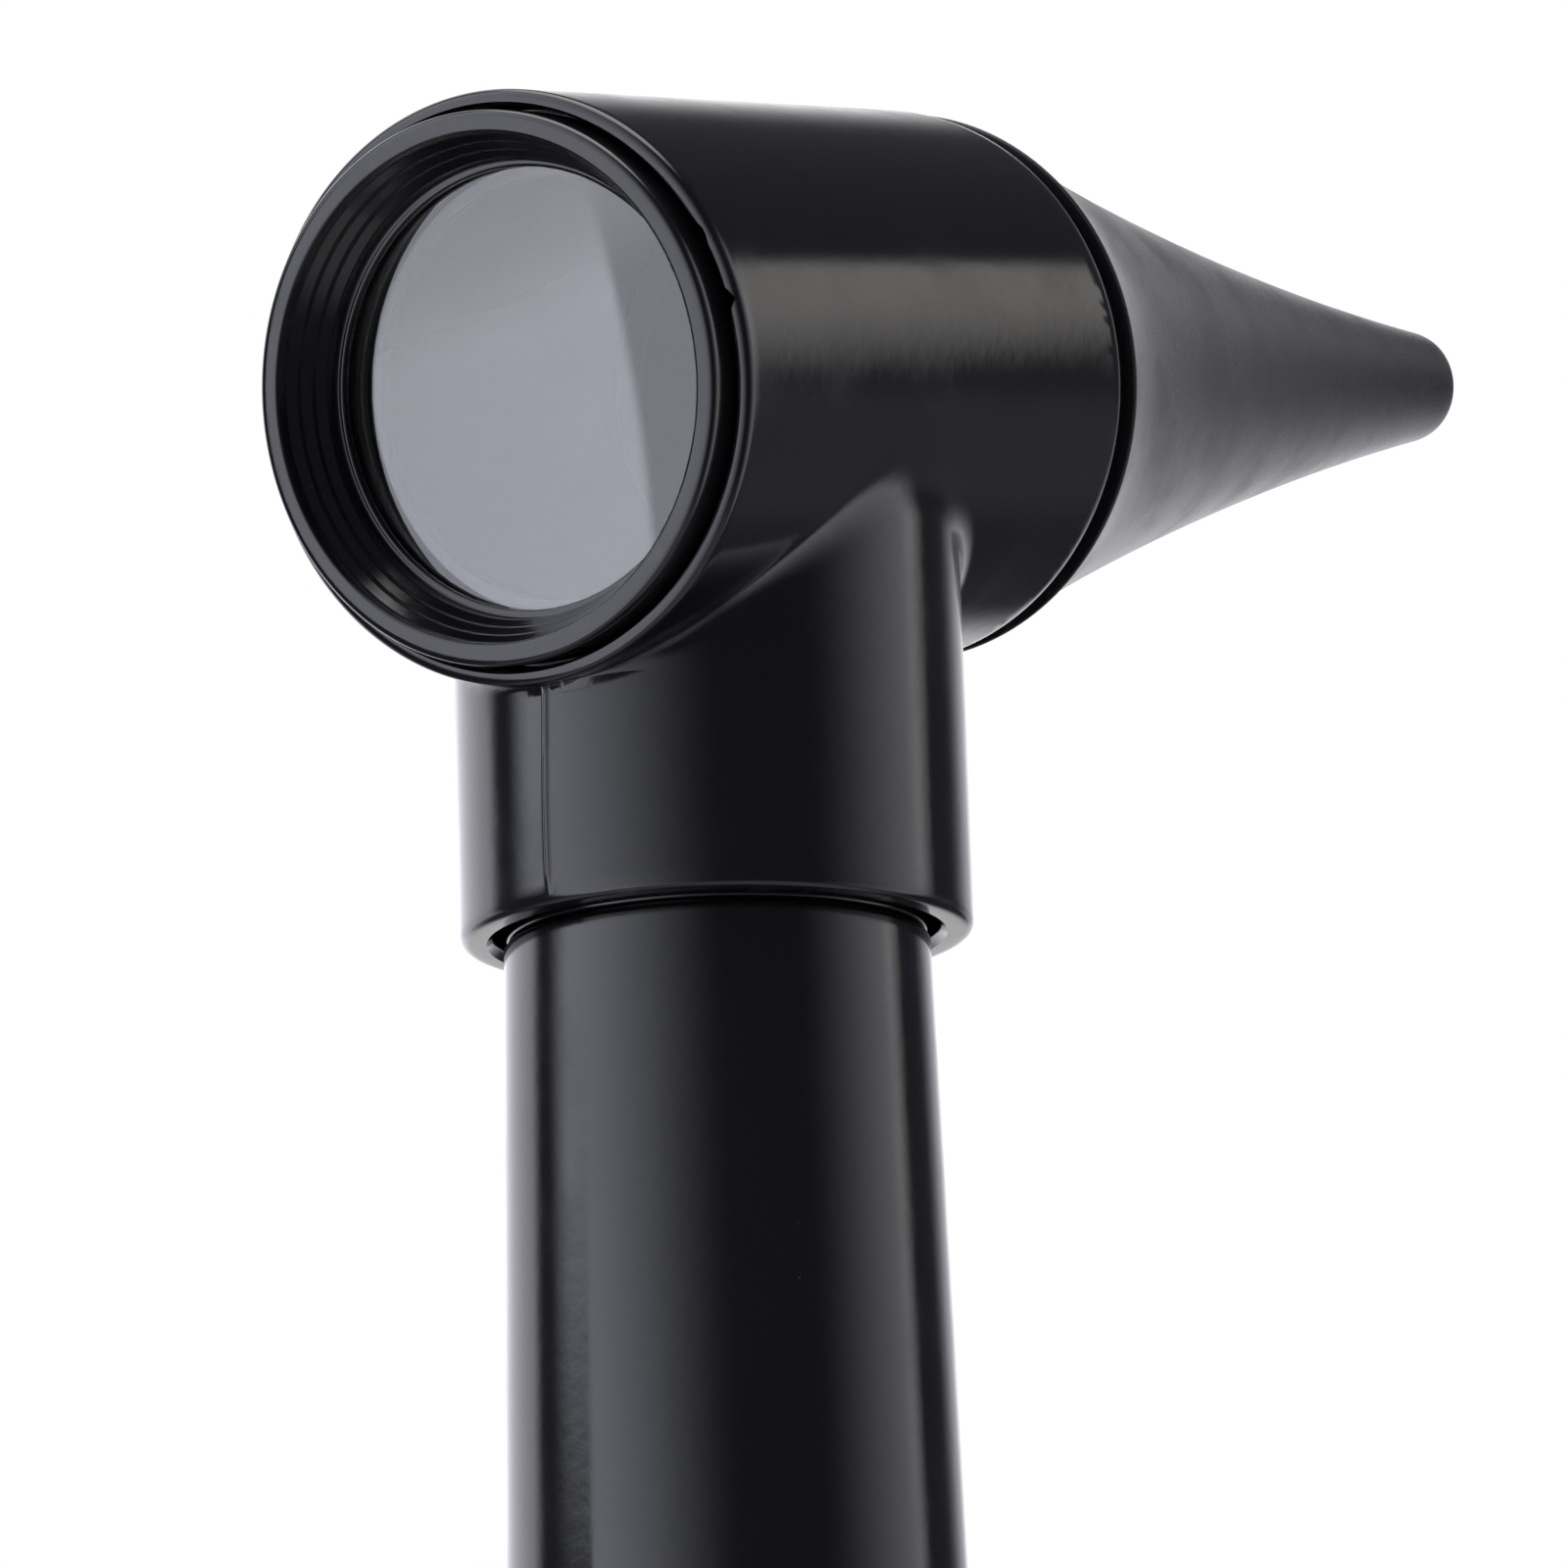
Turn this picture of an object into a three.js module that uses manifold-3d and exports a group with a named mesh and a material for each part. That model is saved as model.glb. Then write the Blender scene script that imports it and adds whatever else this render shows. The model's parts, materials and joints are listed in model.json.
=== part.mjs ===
// A pen-type otoscope: a battery handle with a clip switch, and a turning head that
// carries a magnifier, a light guide and a push-on ear speculum.
// Millimetres, +Z up. The handle axis is Z, the tail face is Z = 0 and the speculum points to +Y.
import * as THREE from 'three';
import { mergeVertices } from 'three/addons/utils/BufferGeometryUtils.js';
import Module from 'manifold-3d';

const wasm = await Module();
wasm.setup();

// ---- driving dimensions --------------------------------------------------------------

const fine = 40;                        // sides of the outer shells
const coarse = 20;                      // sides of the small turned pieces
const clearance = 0.3;                  // gap between pieces that seat on each other
const slip = 0.15;                      // radial gap of a turned fit
const overrun = 1;                      // how far a cutter runs past the face it opens

const headHeight = 138;                 // where the sight axis crosses the handle axis
const sightTilt = THREE.MathUtils.degToRad(12.3);

// Along the sight axis, measured from where it crosses the handle axis.
const barrel = {
  radius: 9, rear: -10.9, front: 11.5, edge: 0.45, bore: 7.2,
  pocket: 7.5, pocketStart: -9.2, pocketEnd: -6.5, throat: 6.9,
};
const eyepiece = { radius: 8.36, recess: 8.5, front: -11.8, rear: -9.4, edge: 0.2, lipDepth: 2.1, lip: 6.7 };
const stairs = { radius: 7.65, ledge: 0.23, depth: 0.63, wall: 0.3, count: 3 };
const lens = { radius: 7.25, edge: 1.2, bulge: 0.3, front: eyepiece.rear + 0.1 };
const lensSeal = { inner: 6.75, thick: 0.35, gap: 0.1 };
const nose = {
  thread: 7, flange: 7.5, flangeThickness: 0.5, start: 5.5, coneStart: 12.5, coneRadius: 6.85,
  tip: 24, tipRadius: 4.35, rearBore: 6.2, tipBore: 3.85,
};
const speculum = { base: 11.8, tip: 46.7, wall: 0.8, tipWall: 0.4, rows: 8 };

// Heights from the same crossing point, along the handle axis.
const collar = { radius: 7.92, bore: 6.88, mouth: -17.65, ceiling: -10.9, guideHole: 2.6 };
const guide = { radius: 0.9, foot: -10 };
const holder = { flange: 4.6, low: -11.8, top: -7.9, domeBore: 1.85, guideBore: 1.2, step: -10.2 };

// Heights from the tail face.
const tube = { bottom: 12.3, top: 120.25, radius: 7.5, coneStart: 76, mouthRadius: 6.57 };
const tubeBore = {
  radius: 5.7, shoulder: 106, lampRadius: 5.3, thread: 6.45, threadTop: 18.4, neckSeat: 6.1, neckStart: 113.9,
};
const neck = { radius: 6.5, spigot: 6, low: 114, step: 120.35, top: 126.7 };
const neckGroove = { radius: 5.9, low: 123.1, high: 124.5 };
const seal = { thick: 0.42, sides: 6 };
const stripGroove = { width: 3.4, depth: 6.2, top: 112.5 };
const strip = { width: 2.8, inner: 5.8, outer: 6.05 };
const cell = { radius: 5.25, length: 43.7, nubRadius: 1.9, nub: 0.8, bottom: 13.2, gap: 0.1 };
const lamp = {
  low: 106.4, high: 124.2, radius: 5.1, ringSeat: 4.4, hollow: 3.4, floor: 3.2,
  boardTop: 124.9, bezelTop: 125.6, dome: 1.5, domeShank: 1.1,
};
const plunger = { tip: 1.6, flange: 2.2, flangeTop: 105.4, shank: 0.85, hole: 1, head: 1.3 };
const cap = {
  radius: 7.75, height: 12, face: 6.55, flutes: 18, fluteDepth: 0.35, fluteLow: 2, fluteHigh: 10,
  spigot: 6.25, spigotTop: 18, hollow: 5.75, floor: 2.6,
};
const contactCup = { radius: 5.62, wall: 0.24, low: 2.9, top: 19.5 };
const clip = { pivotZ: 95, pivotY: -9.5, eye: 1.15, width: 4.2, thickness: 0.7, footGap: 0.8 };
const stud = { z: 61, shank: 0.9, head: 1.5, height: 0.8 };
const screw = { z: 89.5, hole: 1, shank: 0.8, head: 1.5 };
const saddle = { low: 86.5, high: 97.5, inner: 7.35, outer: 8, halfAngle: 0.62, earX: 2.6, earThickness: 0.6 };
const pinRadius = 0.5;
const clipCoil = { z: 79, radius: 1.3, wire: 0.22 };

// ---- materials -----------------------------------------------------------------------

function finish(color, roughness, metalness = 0) {
  return new THREE.MeshStandardMaterial({ color, roughness, metalness });
}

const blackPlastic = () => finish(0x121214, 0.2);
const satinPlastic = () => finish(0x2c2c30, 0.5);
const whitePlastic = () => finish(0xd8d8d4, 0.5);
const rubber = () => finish(0x0c0c0c, 0.8);
const brass = () => finish(0xb9953f, 0.3, 1);
const steel = () => finish(0xc4c6c8, 0.25, 1);
const aluminium = () => finish(0xd2d4d6, 0.3, 1);
const glass = () => finish(0xdfe8ea, 0.05);

// ---- solids --------------------------------------------------------------------------

// A closed mesh as a solid for joining and cutting.
function solid(geometry) {
  const plain = geometry.clone();
  plain.deleteAttribute('normal');
  plain.deleteAttribute('uv');
  const merged = mergeVertices(plain, 1e-4);
  return new wasm.Manifold(new wasm.Mesh({
    numProp: 3,
    vertProperties: new Float32Array(merged.attributes.position.array),
    triVerts: new Uint32Array(merged.index.array),
  }));
}

function geometryOf(manifold) {
  const mesh = manifold.getMesh();
  const geometry = new THREE.BufferGeometry();
  geometry.setAttribute('position', new THREE.BufferAttribute(new Float32Array(mesh.vertProperties), 3));
  geometry.setIndex(new THREE.BufferAttribute(new Uint32Array(mesh.triVerts), 1));
  return geometry;
}

function join(...geometries) {
  return geometryOf(geometries.map(solid).reduce((whole, piece) => whole.add(piece)));
}

function cut(body, ...tools) {
  return geometryOf(tools.map(solid).reduce((whole, tool) => whole.subtract(tool), solid(body)));
}

// Turns an outline of [radius, height] points about Y. The outline runs up its outer side.
function turned(outline, sides) {
  const points = outline.map(([radius, height]) => new THREE.Vector2(radius, height));
  const closesOnAxis = outline[0][0] === 0 && outline[outline.length - 1][0] === 0;
  if (!closesOnAxis) points.push(points[0].clone());
  return new THREE.LatheGeometry(points, sides);
}

// The same about Z.
function turnedUp(outline, sides) {
  return turned(outline, sides).rotateX(Math.PI / 2);
}

function rod(radius, low, high, sides = coarse) {
  return turnedUp([[0, low], [radius, low], [radius, high], [0, high]], sides);
}

function ring(outer, inner, low, high, sides = coarse) {
  return turnedUp([[inner, low], [outer, low], [outer, high], [inner, high]], sides);
}

// A rod that lies along X, through the given y and z.
function crossRod(radius, length, y, z) {
  return rod(radius, -length / 2, length / 2, 16).rotateY(Math.PI / 2).translate(0, y, z);
}

// A turned piece that stands out of the handle towards -Y, its outline's heights as distances
// from the handle axis.
function outward(outline, z) {
  return turnedUp(outline, 16).rotateX(Math.PI / 2).translate(0, 0, z);
}

function block(width, depth, height, x, y, z) {
  return new THREE.BoxGeometry(width, depth, height).translate(x, y, z);
}

function regularPoints(count, pointAt) {
  return Array.from({ length: count }, (_, i) => pointAt(i / count * Math.PI * 2));
}

// The section of a seal ring, [radius, height] points round its centre.
function sealSection(centre, middle, halfWidth, halfHeight) {
  return regularPoints(seal.sides, (angle) => [
    centre + halfWidth * Math.cos(angle), middle + halfHeight * Math.sin(angle),
  ]);
}

// A round wire or rod along a curve.
function wire(curve, radius, sides, steps) {
  const section = new THREE.Shape(regularPoints(sides, (angle) => (
    new THREE.Vector2(radius * Math.cos(angle), radius * Math.sin(angle))
  )));
  return new THREE.ExtrudeGeometry(section, { steps, extrudePath: curve, bevelEnabled: false });
}

// An outline of [y, z] points given a width across X, centred on X = 0.
function strapAcross(outline, width) {
  const shape = new THREE.Shape(outline.map(([y, z]) => new THREE.Vector2(y, z)));
  const geometry = new THREE.ExtrudeGeometry(shape, { depth: width, bevelEnabled: false });
  // The drawing plane turns so that its x runs along Y, its y along Z and its depth along X.
  return geometry.applyMatrix4(new THREE.Matrix4().set(
    0, 0, 1, -width / 2,
    1, 0, 0, 0,
    0, 1, 0, 0,
    0, 0, 0, 1,
  ));
}

class Helix extends THREE.Curve {
  constructor(low, high, lowRadius, highRadius, turns) {
    super();
    Object.assign(this, { low, high, lowRadius, highRadius, turns });
  }

  getPoint(t, target = new THREE.Vector3()) {
    const angle = t * this.turns * Math.PI * 2;
    const radius = THREE.MathUtils.lerp(this.lowRadius, this.highRadius, t);
    const z = THREE.MathUtils.lerp(this.low, this.high, t);
    return target.set(radius * Math.cos(angle), radius * Math.sin(angle), z);
  }
}

// ---- the object ----------------------------------------------------------------------

const otoscope = new THREE.Group();
const head = new THREE.Group();         // upright, its origin where the two axes cross
head.position.z = headHeight;
const sight = new THREE.Group();        // its Y runs along the sight axis, towards the ear
sight.rotation.x = sightTilt;
head.add(sight);
otoscope.add(head);

function place(group, name, geometry, material) {
  const mesh = new THREE.Mesh(geometry, material);
  mesh.name = name;
  group.add(mesh);
}

// ---- head ----------------------------------------------------------------------------

function headHousing() {
  const { radius, rear, front, edge, bore, pocket, pocketStart, pocketEnd, throat } = barrel;
  const shell = turned([
    [0, rear], [radius - edge, rear], [radius, rear + edge],
    [radius, front - edge], [radius - edge, front], [0, front],
  ], fine).rotateX(sightTilt);
  const chamfer = 0.2;
  const inside = -2;                    // a height well inside the barrel
  const stem = turnedUp([
    [0, collar.mouth], [collar.radius - chamfer, collar.mouth], [collar.radius, collar.mouth + chamfer],
    [collar.radius, inside], [0, inside],
  ], fine);
  const noseSeat = nose.start - clearance;
  const sightBore = turned([
    [0, rear - overrun], [eyepiece.recess, rear - overrun], [eyepiece.recess, pocketStart],
    [pocket, pocketStart], [pocket, pocketEnd], [throat, pocketEnd], [throat, noseSeat],
    [bore, noseSeat], [bore, front + overrun], [0, front + overrun],
  ], fine).rotateX(sightTilt);
  const socket = turnedUp([
    [0, collar.mouth - overrun], [collar.bore, collar.mouth - overrun], [collar.bore, collar.ceiling],
    [collar.guideHole, collar.ceiling], [collar.guideHole, inside], [0, inside],
  ], fine);
  return cut(join(shell, stem), sightBore, socket);
}

// The ring's inside steps down to the lens like a small staircase.
function eyepieceRing() {
  const { radius, front, rear, edge, lipDepth, lip } = eyepiece;
  const steps = [];
  for (let i = 0; i < stairs.count; i += 1) {
    const depth = front + stairs.depth + stairs.wall * i;
    const inner = stairs.radius - stairs.ledge * i;
    steps.unshift([inner - stairs.ledge, depth], [inner, depth]);
  }
  return turned([
    [stairs.radius + edge, front], [radius - edge, front], [radius, front + edge], [radius, rear],
    [lip, rear], [lip, front + lipDepth], [stairs.radius - stairs.ledge * stairs.count, front + lipDepth],
    ...steps, [stairs.radius, front + edge],
  ], fine);
}

// The lens is flat towards the eye and domed towards the ear.
function magnifierLens() {
  const { radius, edge, bulge, front } = lens;
  const rings = 3;
  const dome = Array.from({ length: rings + 1 }, (_, i) => [radius * i / rings, edge + bulge * (1 - (i / rings) ** 2)]);
  return turned([[0, 0], [radius, 0], ...dome.reverse()], fine).translate(0, front, 0);
}

function lensGasket() {
  const { inner, thick, gap } = lensSeal;
  const low = lens.front + lens.edge + gap;
  return turned([[inner, low], [lens.radius, low], [lens.radius, low + thick], [inner, low + thick]], fine);
}

function lensSpacer() {
  const low = lens.front + lens.edge + lensSeal.gap + lensSeal.thick + 0.15;
  return turned([[6.4, low], [7.3, low], [7.3, low + 0.5], [6.4, low + 0.5]], fine);
}

// A funnel: wide at the barrel, curving into a long slim cone.
function speculumRadius(y) {
  const along = (y - speculum.base) / (speculum.tip - speculum.base);
  return 8.6 - 9.35 * along + 2.75 * along ** 2 + 0.1 * Math.sin(Math.PI * along);
}

function earSpeculum() {
  const { base, tip, wall, tipWall, rows } = speculum;
  const rounding = 0.15;
  const outer = [];
  const inner = [];
  for (let i = 0; i <= rows; i += 1) {
    const y = THREE.MathUtils.lerp(base, tip - 2 * rounding, i / rows);
    outer.push([speculumRadius(y), y]);
    inner.unshift([speculumRadius(y) - THREE.MathUtils.lerp(wall, tipWall, i / rows), y]);
  }
  const rim = speculumRadius(tip) - rounding;
  return turned([...outer, [rim, tip], [rim - 0.1, tip], ...inner], fine);
}

function speculumNose() {
  const seat = barrel.front + slip;
  const { thread, flange, flangeThickness, start, coneStart, coneRadius, tip, tipRadius } = nose;
  const chamfer = 0.3;
  return turned([
    [nose.rearBore, start], [thread, start], [thread, seat], [flange, seat], [flange, seat + flangeThickness],
    [coneRadius, coneStart], [tipRadius, tip - chamfer], [tipRadius - chamfer, tip], [nose.tipBore, tip],
    [nose.rearBore, coneStart],
  ], coarse);
}

// The guide rises from the lamp, bends under the line of sight and runs along the nose.
function lightGuide() {
  const sightPoint = (along, below) => new THREE.Vector3(
    0,
    along * Math.cos(sightTilt) + below * Math.sin(sightTilt),
    along * Math.sin(sightTilt) - below * Math.cos(sightTilt),
  );
  const route = new THREE.CatmullRomCurve3([
    new THREE.Vector3(0, 0, guide.foot),
    new THREE.Vector3(0, 0, guide.foot + 2.2),
    new THREE.Vector3(0, 1, guide.foot + 4),
    sightPoint(3.4, 5.4),
    sightPoint(8, 5.1),
    sightPoint(12, 4.75),
    sightPoint(23.4, 2.75),
  ]);
  return wire(route, guide.radius, 10, 24);
}

function guideHolder() {
  const { flange, low, top, domeBore, guideBore, step } = holder;
  const boss = collar.guideHole - slip;
  const seat = collar.ceiling - clearance;
  return turnedUp([
    [domeBore, low], [flange, low], [flange, seat], [boss, seat], [boss, top],
    [guideBore, top], [guideBore, step], [domeBore, step - 0.2],
  ], coarse);
}

place(head, 'head_housing', headHousing(), blackPlastic());
place(sight, 'eyepiece_ring', eyepieceRing(), blackPlastic());
place(sight, 'lens_gasket', lensGasket(), rubber());
place(sight, 'magnifier_lens', magnifierLens(), glass());
place(sight, 'lens_spacer', lensSpacer(), blackPlastic());
place(sight, 'speculum_nose', speculumNose(), blackPlastic());
place(sight, 'speculum', earSpeculum(), satinPlastic());
place(head, 'light_guide', lightGuide(), glass());
place(head, 'light_guide_holder', guideHolder(), blackPlastic());

// ---- handle shell --------------------------------------------------------------------

function handleTube() {
  const edge = 0.3;
  const outside = turnedUp([
    [0, tube.bottom], [tube.radius - edge, tube.bottom], [tube.radius, tube.bottom + edge],
    [tube.radius, tube.coneStart], [tube.mouthRadius, tube.top], [0, tube.top],
  ], fine);
  const taper = tubeBore.thread - tubeBore.radius;
  const bore = turnedUp([
    [0, tube.bottom - overrun], [tubeBore.thread, tube.bottom - overrun],
    [tubeBore.thread, tubeBore.threadTop], [tubeBore.radius, tubeBore.threadTop + taper],
    [tubeBore.radius, tubeBore.shoulder], [tubeBore.lampRadius, tubeBore.shoulder],
    [tubeBore.lampRadius, tubeBore.neckStart], [tubeBore.neckSeat, tubeBore.neckStart],
    [tubeBore.neckSeat, tube.top + overrun], [0, tube.top + overrun],
  ], fine);
  const { width, depth, top } = stripGroove;
  const grooveLow = tube.bottom + overrun;
  const groove = block(width, depth, top - grooveLow, 0, -depth / 2, (top + grooveLow) / 2);
  const sideHole = (radius, z) => outward([[0, 5], [radius, 5], [radius, 9], [0, 9]], z);
  return cut(outside, bore, groove, sideHole(stud.shank + slip, stud.z), sideHole(screw.hole, screw.z));
}

// The sleeve that the head pushes onto stands in the top of the tube and holds the lamp.
function neckSleeve() {
  const { radius, spigot, low, step, top } = neck;
  const edge = 0.3;
  return turnedUp([
    [tubeBore.lampRadius, low], [spigot, low], [spigot, step], [radius, step],
    [radius, neckGroove.low], [neckGroove.radius, neckGroove.low],
    [neckGroove.radius, neckGroove.high], [radius, neckGroove.high],
    [radius, top - edge], [radius - edge, top], [tubeBore.lampRadius, top],
  ], fine);
}

function neckSeal() {
  const centre = neckGroove.radius + 0.05 + seal.thick;
  return turnedUp(sealSection(centre, (neckGroove.low + neckGroove.high) / 2, seal.thick, seal.thick), fine);
}

place(otoscope, 'handle_tube', handleTube(), blackPlastic());
place(otoscope, 'neck_sleeve', neckSleeve(), blackPlastic());
place(otoscope, 'neck_oring', neckSeal(), rubber());

// ---- power ---------------------------------------------------------------------------

const frontCell = cell.bottom + cell.length + cell.nub + cell.gap;
const cellTop = frontCell + cell.length + cell.nub;

function batteryCell(bottom) {
  const { radius, length, nub, nubRadius } = cell;
  const rounding = 0.6;
  return turnedUp([
    [0, bottom], [radius - rounding, bottom], [radius, bottom + rounding],
    [radius, bottom + length - rounding], [radius - rounding, bottom + length],
    [nubRadius, bottom + length], [nubRadius, bottom + length + nub], [0, bottom + length + nub],
  ], coarse);
}

// A contact strip lies in the tube's groove and has a toe turned inward at one end.
function contactStrip(low, high, toeAtTop, toeReach) {
  const thickness = strip.outer - strip.inner;
  const toeLow = toeAtTop ? high - thickness : low;
  const root = 0.1;                     // the toe starts this far inside the blade
  const blade = block(strip.width, thickness, high - low, 0, -(strip.outer + strip.inner) / 2, (low + high) / 2);
  const toe = block(strip.width - 0.8, toeReach + root, thickness,
    0, -strip.inner + (toeReach - root) / 2, toeLow + thickness / 2);
  return join(blade, toe);
}

function tailSpring() {
  const base = contactCup.low + contactCup.wall + 0.6;
  return wire(new Helix(base, cell.bottom - 0.55, 3.9, 2.5, 4.5), 0.4, 6, 54);
}

// A brass cup under the spring, whose rim meets the lower strip.
function tailContact() {
  const { radius, wall, low, top } = contactCup;
  return turnedUp([
    [0, low], [radius, low], [radius, top], [radius - wall, top], [radius - wall, low + wall], [0, low + wall],
  ], coarse);
}

place(otoscope, 'battery_rear', batteryCell(cell.bottom), aluminium());
place(otoscope, 'battery_front', batteryCell(frontCell), aluminium());
place(otoscope, 'strip_lower', contactStrip(18.7, 64, false, 0.05), brass());
place(otoscope, 'strip_upper', contactStrip(86.5, 111.8, true, 0.45), brass());
place(otoscope, 'tail_spring', tailSpring(), steel());
place(otoscope, 'tail_contact', tailContact(), brass());

// ---- lamp ----------------------------------------------------------------------------

function lampHolder() {
  const { low, high, radius, ringSeat, hollow, floor } = lamp;
  const shoulder = low + 6.2;
  return turnedUp([
    [plunger.hole, low], [ringSeat, low], [ringSeat, shoulder], [radius, shoulder], [radius, high],
    [hollow, high], [hollow, low + floor], [plunger.hole, low + floor],
  ], coarse);
}

// The sprung pin that meets the front battery's nub.
function lampPin() {
  const { tip, flange, flangeTop, shank, head: headRadius } = plunger;
  const tipZ = cellTop + 0.1;
  const seat = lamp.low + lamp.floor + 0.1;
  return turnedUp([
    [0, tipZ], [tip, tipZ], [flange, tipZ + 0.5], [flange, flangeTop], [shank, flangeTop], [shank, seat],
    [headRadius, seat], [headRadius, seat + 0.6], [0, seat + 0.6],
  ], coarse);
}

function lampSpring() {
  return wire(new Helix(lamp.low + 4.8, lamp.high - 0.5, 2.2, 2.2, 6), 0.25, 5, 66);
}

function lampDome() {
  const { dome, domeShank, boardTop } = lamp;
  const rows = 5;
  const low = boardTop + 0.1;
  const outline = [[0, low]];
  for (let i = 0; i < rows; i += 1) {
    const angle = i / rows * Math.PI / 2;
    outline.push([dome * Math.cos(angle), low + domeShank + dome * 0.9 * Math.sin(angle)]);
  }
  outline.splice(1, 0, [dome, low]);
  outline.push([0, low + domeShank + dome * 0.9]);
  return turnedUp(outline, coarse);
}

place(otoscope, 'lamp_holder', lampHolder(), whitePlastic());
place(otoscope, 'lamp_ring', ring(5.15, 4.55, lamp.low + 0.6, lamp.low + 5.9), brass());
place(otoscope, 'lamp_pin', lampPin(), brass());
place(otoscope, 'lamp_spring', lampSpring(), steel());
place(otoscope, 'lamp_board', rod(4.9, lamp.high + 0.1, lamp.boardTop), aluminium());
place(otoscope, 'lamp_dome', lampDome(), glass());
place(otoscope, 'lamp_bezel', ring(5.1, 1.75, lamp.boardTop + 0.1, lamp.bezelTop), aluminium());

// ---- clip switch ---------------------------------------------------------------------

// The lever hangs from its eye; its foot stands just clear of the stud.
function clipLever() {
  const { pivotZ, pivotY, eye, width, thickness, footGap } = clip;
  const back = pivotY - 0.35;
  const front = back + thickness;
  const foot = -(tube.radius + stud.height) - footGap;
  const blade = strapAcross([
    [front, pivotZ], [front, stud.z + 9], [foot, stud.z + 1.2], [foot, stud.z - 1.2],
    [front - 0.3, stud.z - 5], [back - 0.6, stud.z - 8.5], [back - 0.6 - thickness, stud.z - 8.2],
    [back - 0.1, stud.z - 4.6], [foot - thickness, stud.z - 1.4], [foot - thickness, stud.z + 1.4],
    [back, stud.z + 9.4], [back, pivotZ],
  ], width);
  const curl = crossRod(eye, width, pivotY, pivotZ);
  return cut(join(blade, curl), crossRod(pinRadius + 0.12, 2 * width, pivotY, pivotZ));
}

function clipSaddle() {
  const { low, high, inner, outer, halfAngle, earX, earThickness } = saddle;
  const start = -Math.PI / 2 - halfAngle;
  const end = -Math.PI / 2 + halfAngle;
  const section = new THREE.Shape();
  section.absarc(0, 0, outer, start, end, false);
  section.absarc(0, 0, inner, end, start, true);
  const base = new THREE.ExtrudeGeometry(section, { depth: high - low, curveSegments: 8, bevelEnabled: false });
  base.translate(0, 0, low);
  const earBack = clip.pivotY - 1.2;
  const earFront = -inner + 0.35;
  const ears = [-1, 1].map((side) => block(
    earThickness, earFront - earBack, 3.2,
    side * (earX + earThickness / 2), (earFront + earBack) / 2, clip.pivotZ,
  ));
  const pinHole = crossRod(pinRadius + 0.05, 12, clip.pivotY, clip.pivotZ);
  const screwHole = outward([[0, 6], [screw.hole, 6], [screw.hole, 10], [0, 10]], screw.z);
  return cut(join(base, ...ears), pinHole, screwHole);
}

function clipScrew() {
  const seat = saddle.outer + 0.1;
  return outward([
    [0, 6.1], [screw.shank, 6.1], [screw.shank, seat], [screw.head, seat], [screw.head, seat + 0.4],
    [screw.head - 0.4, seat + 0.65], [0, seat + 0.65],
  ], screw.z);
}

function switchStud() {
  const seat = tube.radius + 0.1;
  const top = tube.radius + stud.height;
  return outward([
    [0, 6.1], [stud.shank, 6.1], [stud.shank, seat], [stud.head, seat], [stud.head, seat + 0.3],
    [stud.head - 0.6, top], [0, top],
  ], stud.z);
}

// The coil that pushes the lever away from the handle.
function clipSpring() {
  const wireRoom = clipCoil.wire + 0.08;
  const low = tube.radius + wireRoom;
  const high = -(clip.pivotY - 0.35 + clip.thickness) - wireRoom;
  const coil = wire(new Helix(low, high, clipCoil.radius, clipCoil.radius, 2.5), clipCoil.wire, 5, 30);
  return coil.rotateX(Math.PI / 2).translate(0, 0, clipCoil.z);
}

place(otoscope, 'clip_saddle', clipSaddle(), steel());
place(otoscope, 'clip_screw', clipScrew(), steel());
place(otoscope, 'clip_pin', crossRod(pinRadius, 7, clip.pivotY, clip.pivotZ), steel());
place(otoscope, 'pocket_clip', clipLever(), steel());
place(otoscope, 'clip_spring', clipSpring(), steel());
place(otoscope, 'switch_stud', switchStud(), brass());

// ---- tail cap ------------------------------------------------------------------------

function tailCap() {
  const { radius, height, face, flutes, fluteDepth, fluteLow, fluteHigh, spigot, spigotTop } = cap;
  const grip = new THREE.Shape(regularPoints(flutes * 4, (angle) => {
    const reach = radius - fluteDepth * (0.5 + 0.5 * Math.cos(angle * flutes));
    return new THREE.Vector2(reach * Math.cos(angle), reach * Math.sin(angle));
  }));
  const fluted = new THREE.ExtrudeGeometry(grip, { depth: fluteHigh - fluteLow, bevelEnabled: false });
  fluted.translate(0, 0, fluteLow);
  const core = radius - 0.5;
  const body = turnedUp([
    [0, 0], [face, 0], [core, 0.7], [core, fluteHigh], [radius, fluteHigh], [radius, height], [spigot, height],
    [spigot, spigotTop - 0.4], [spigot - 0.4, spigotTop], [0, spigotTop],
  ], fine);
  const hollow = rod(cap.hollow, cap.floor, spigotTop + overrun, fine);
  const sealGroove = ring(spigot + overrun, spigot - 0.35, height + 0.35, height + 1.45, fine);
  return cut(join(fluted, body), hollow, sealGroove);
}

function tailSeal() {
  return turnedUp(sealSection(cap.spigot - 0.06, cap.height + 0.9, 0.22, 0.4), fine);
}

place(otoscope, 'tail_cap', tailCap(), blackPlastic());
place(otoscope, 'tail_oring', tailSeal(), rubber());

export default otoscope;
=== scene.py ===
import json
import math

import bmesh
import bpy
from mathutils import Matrix, Vector

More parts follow.
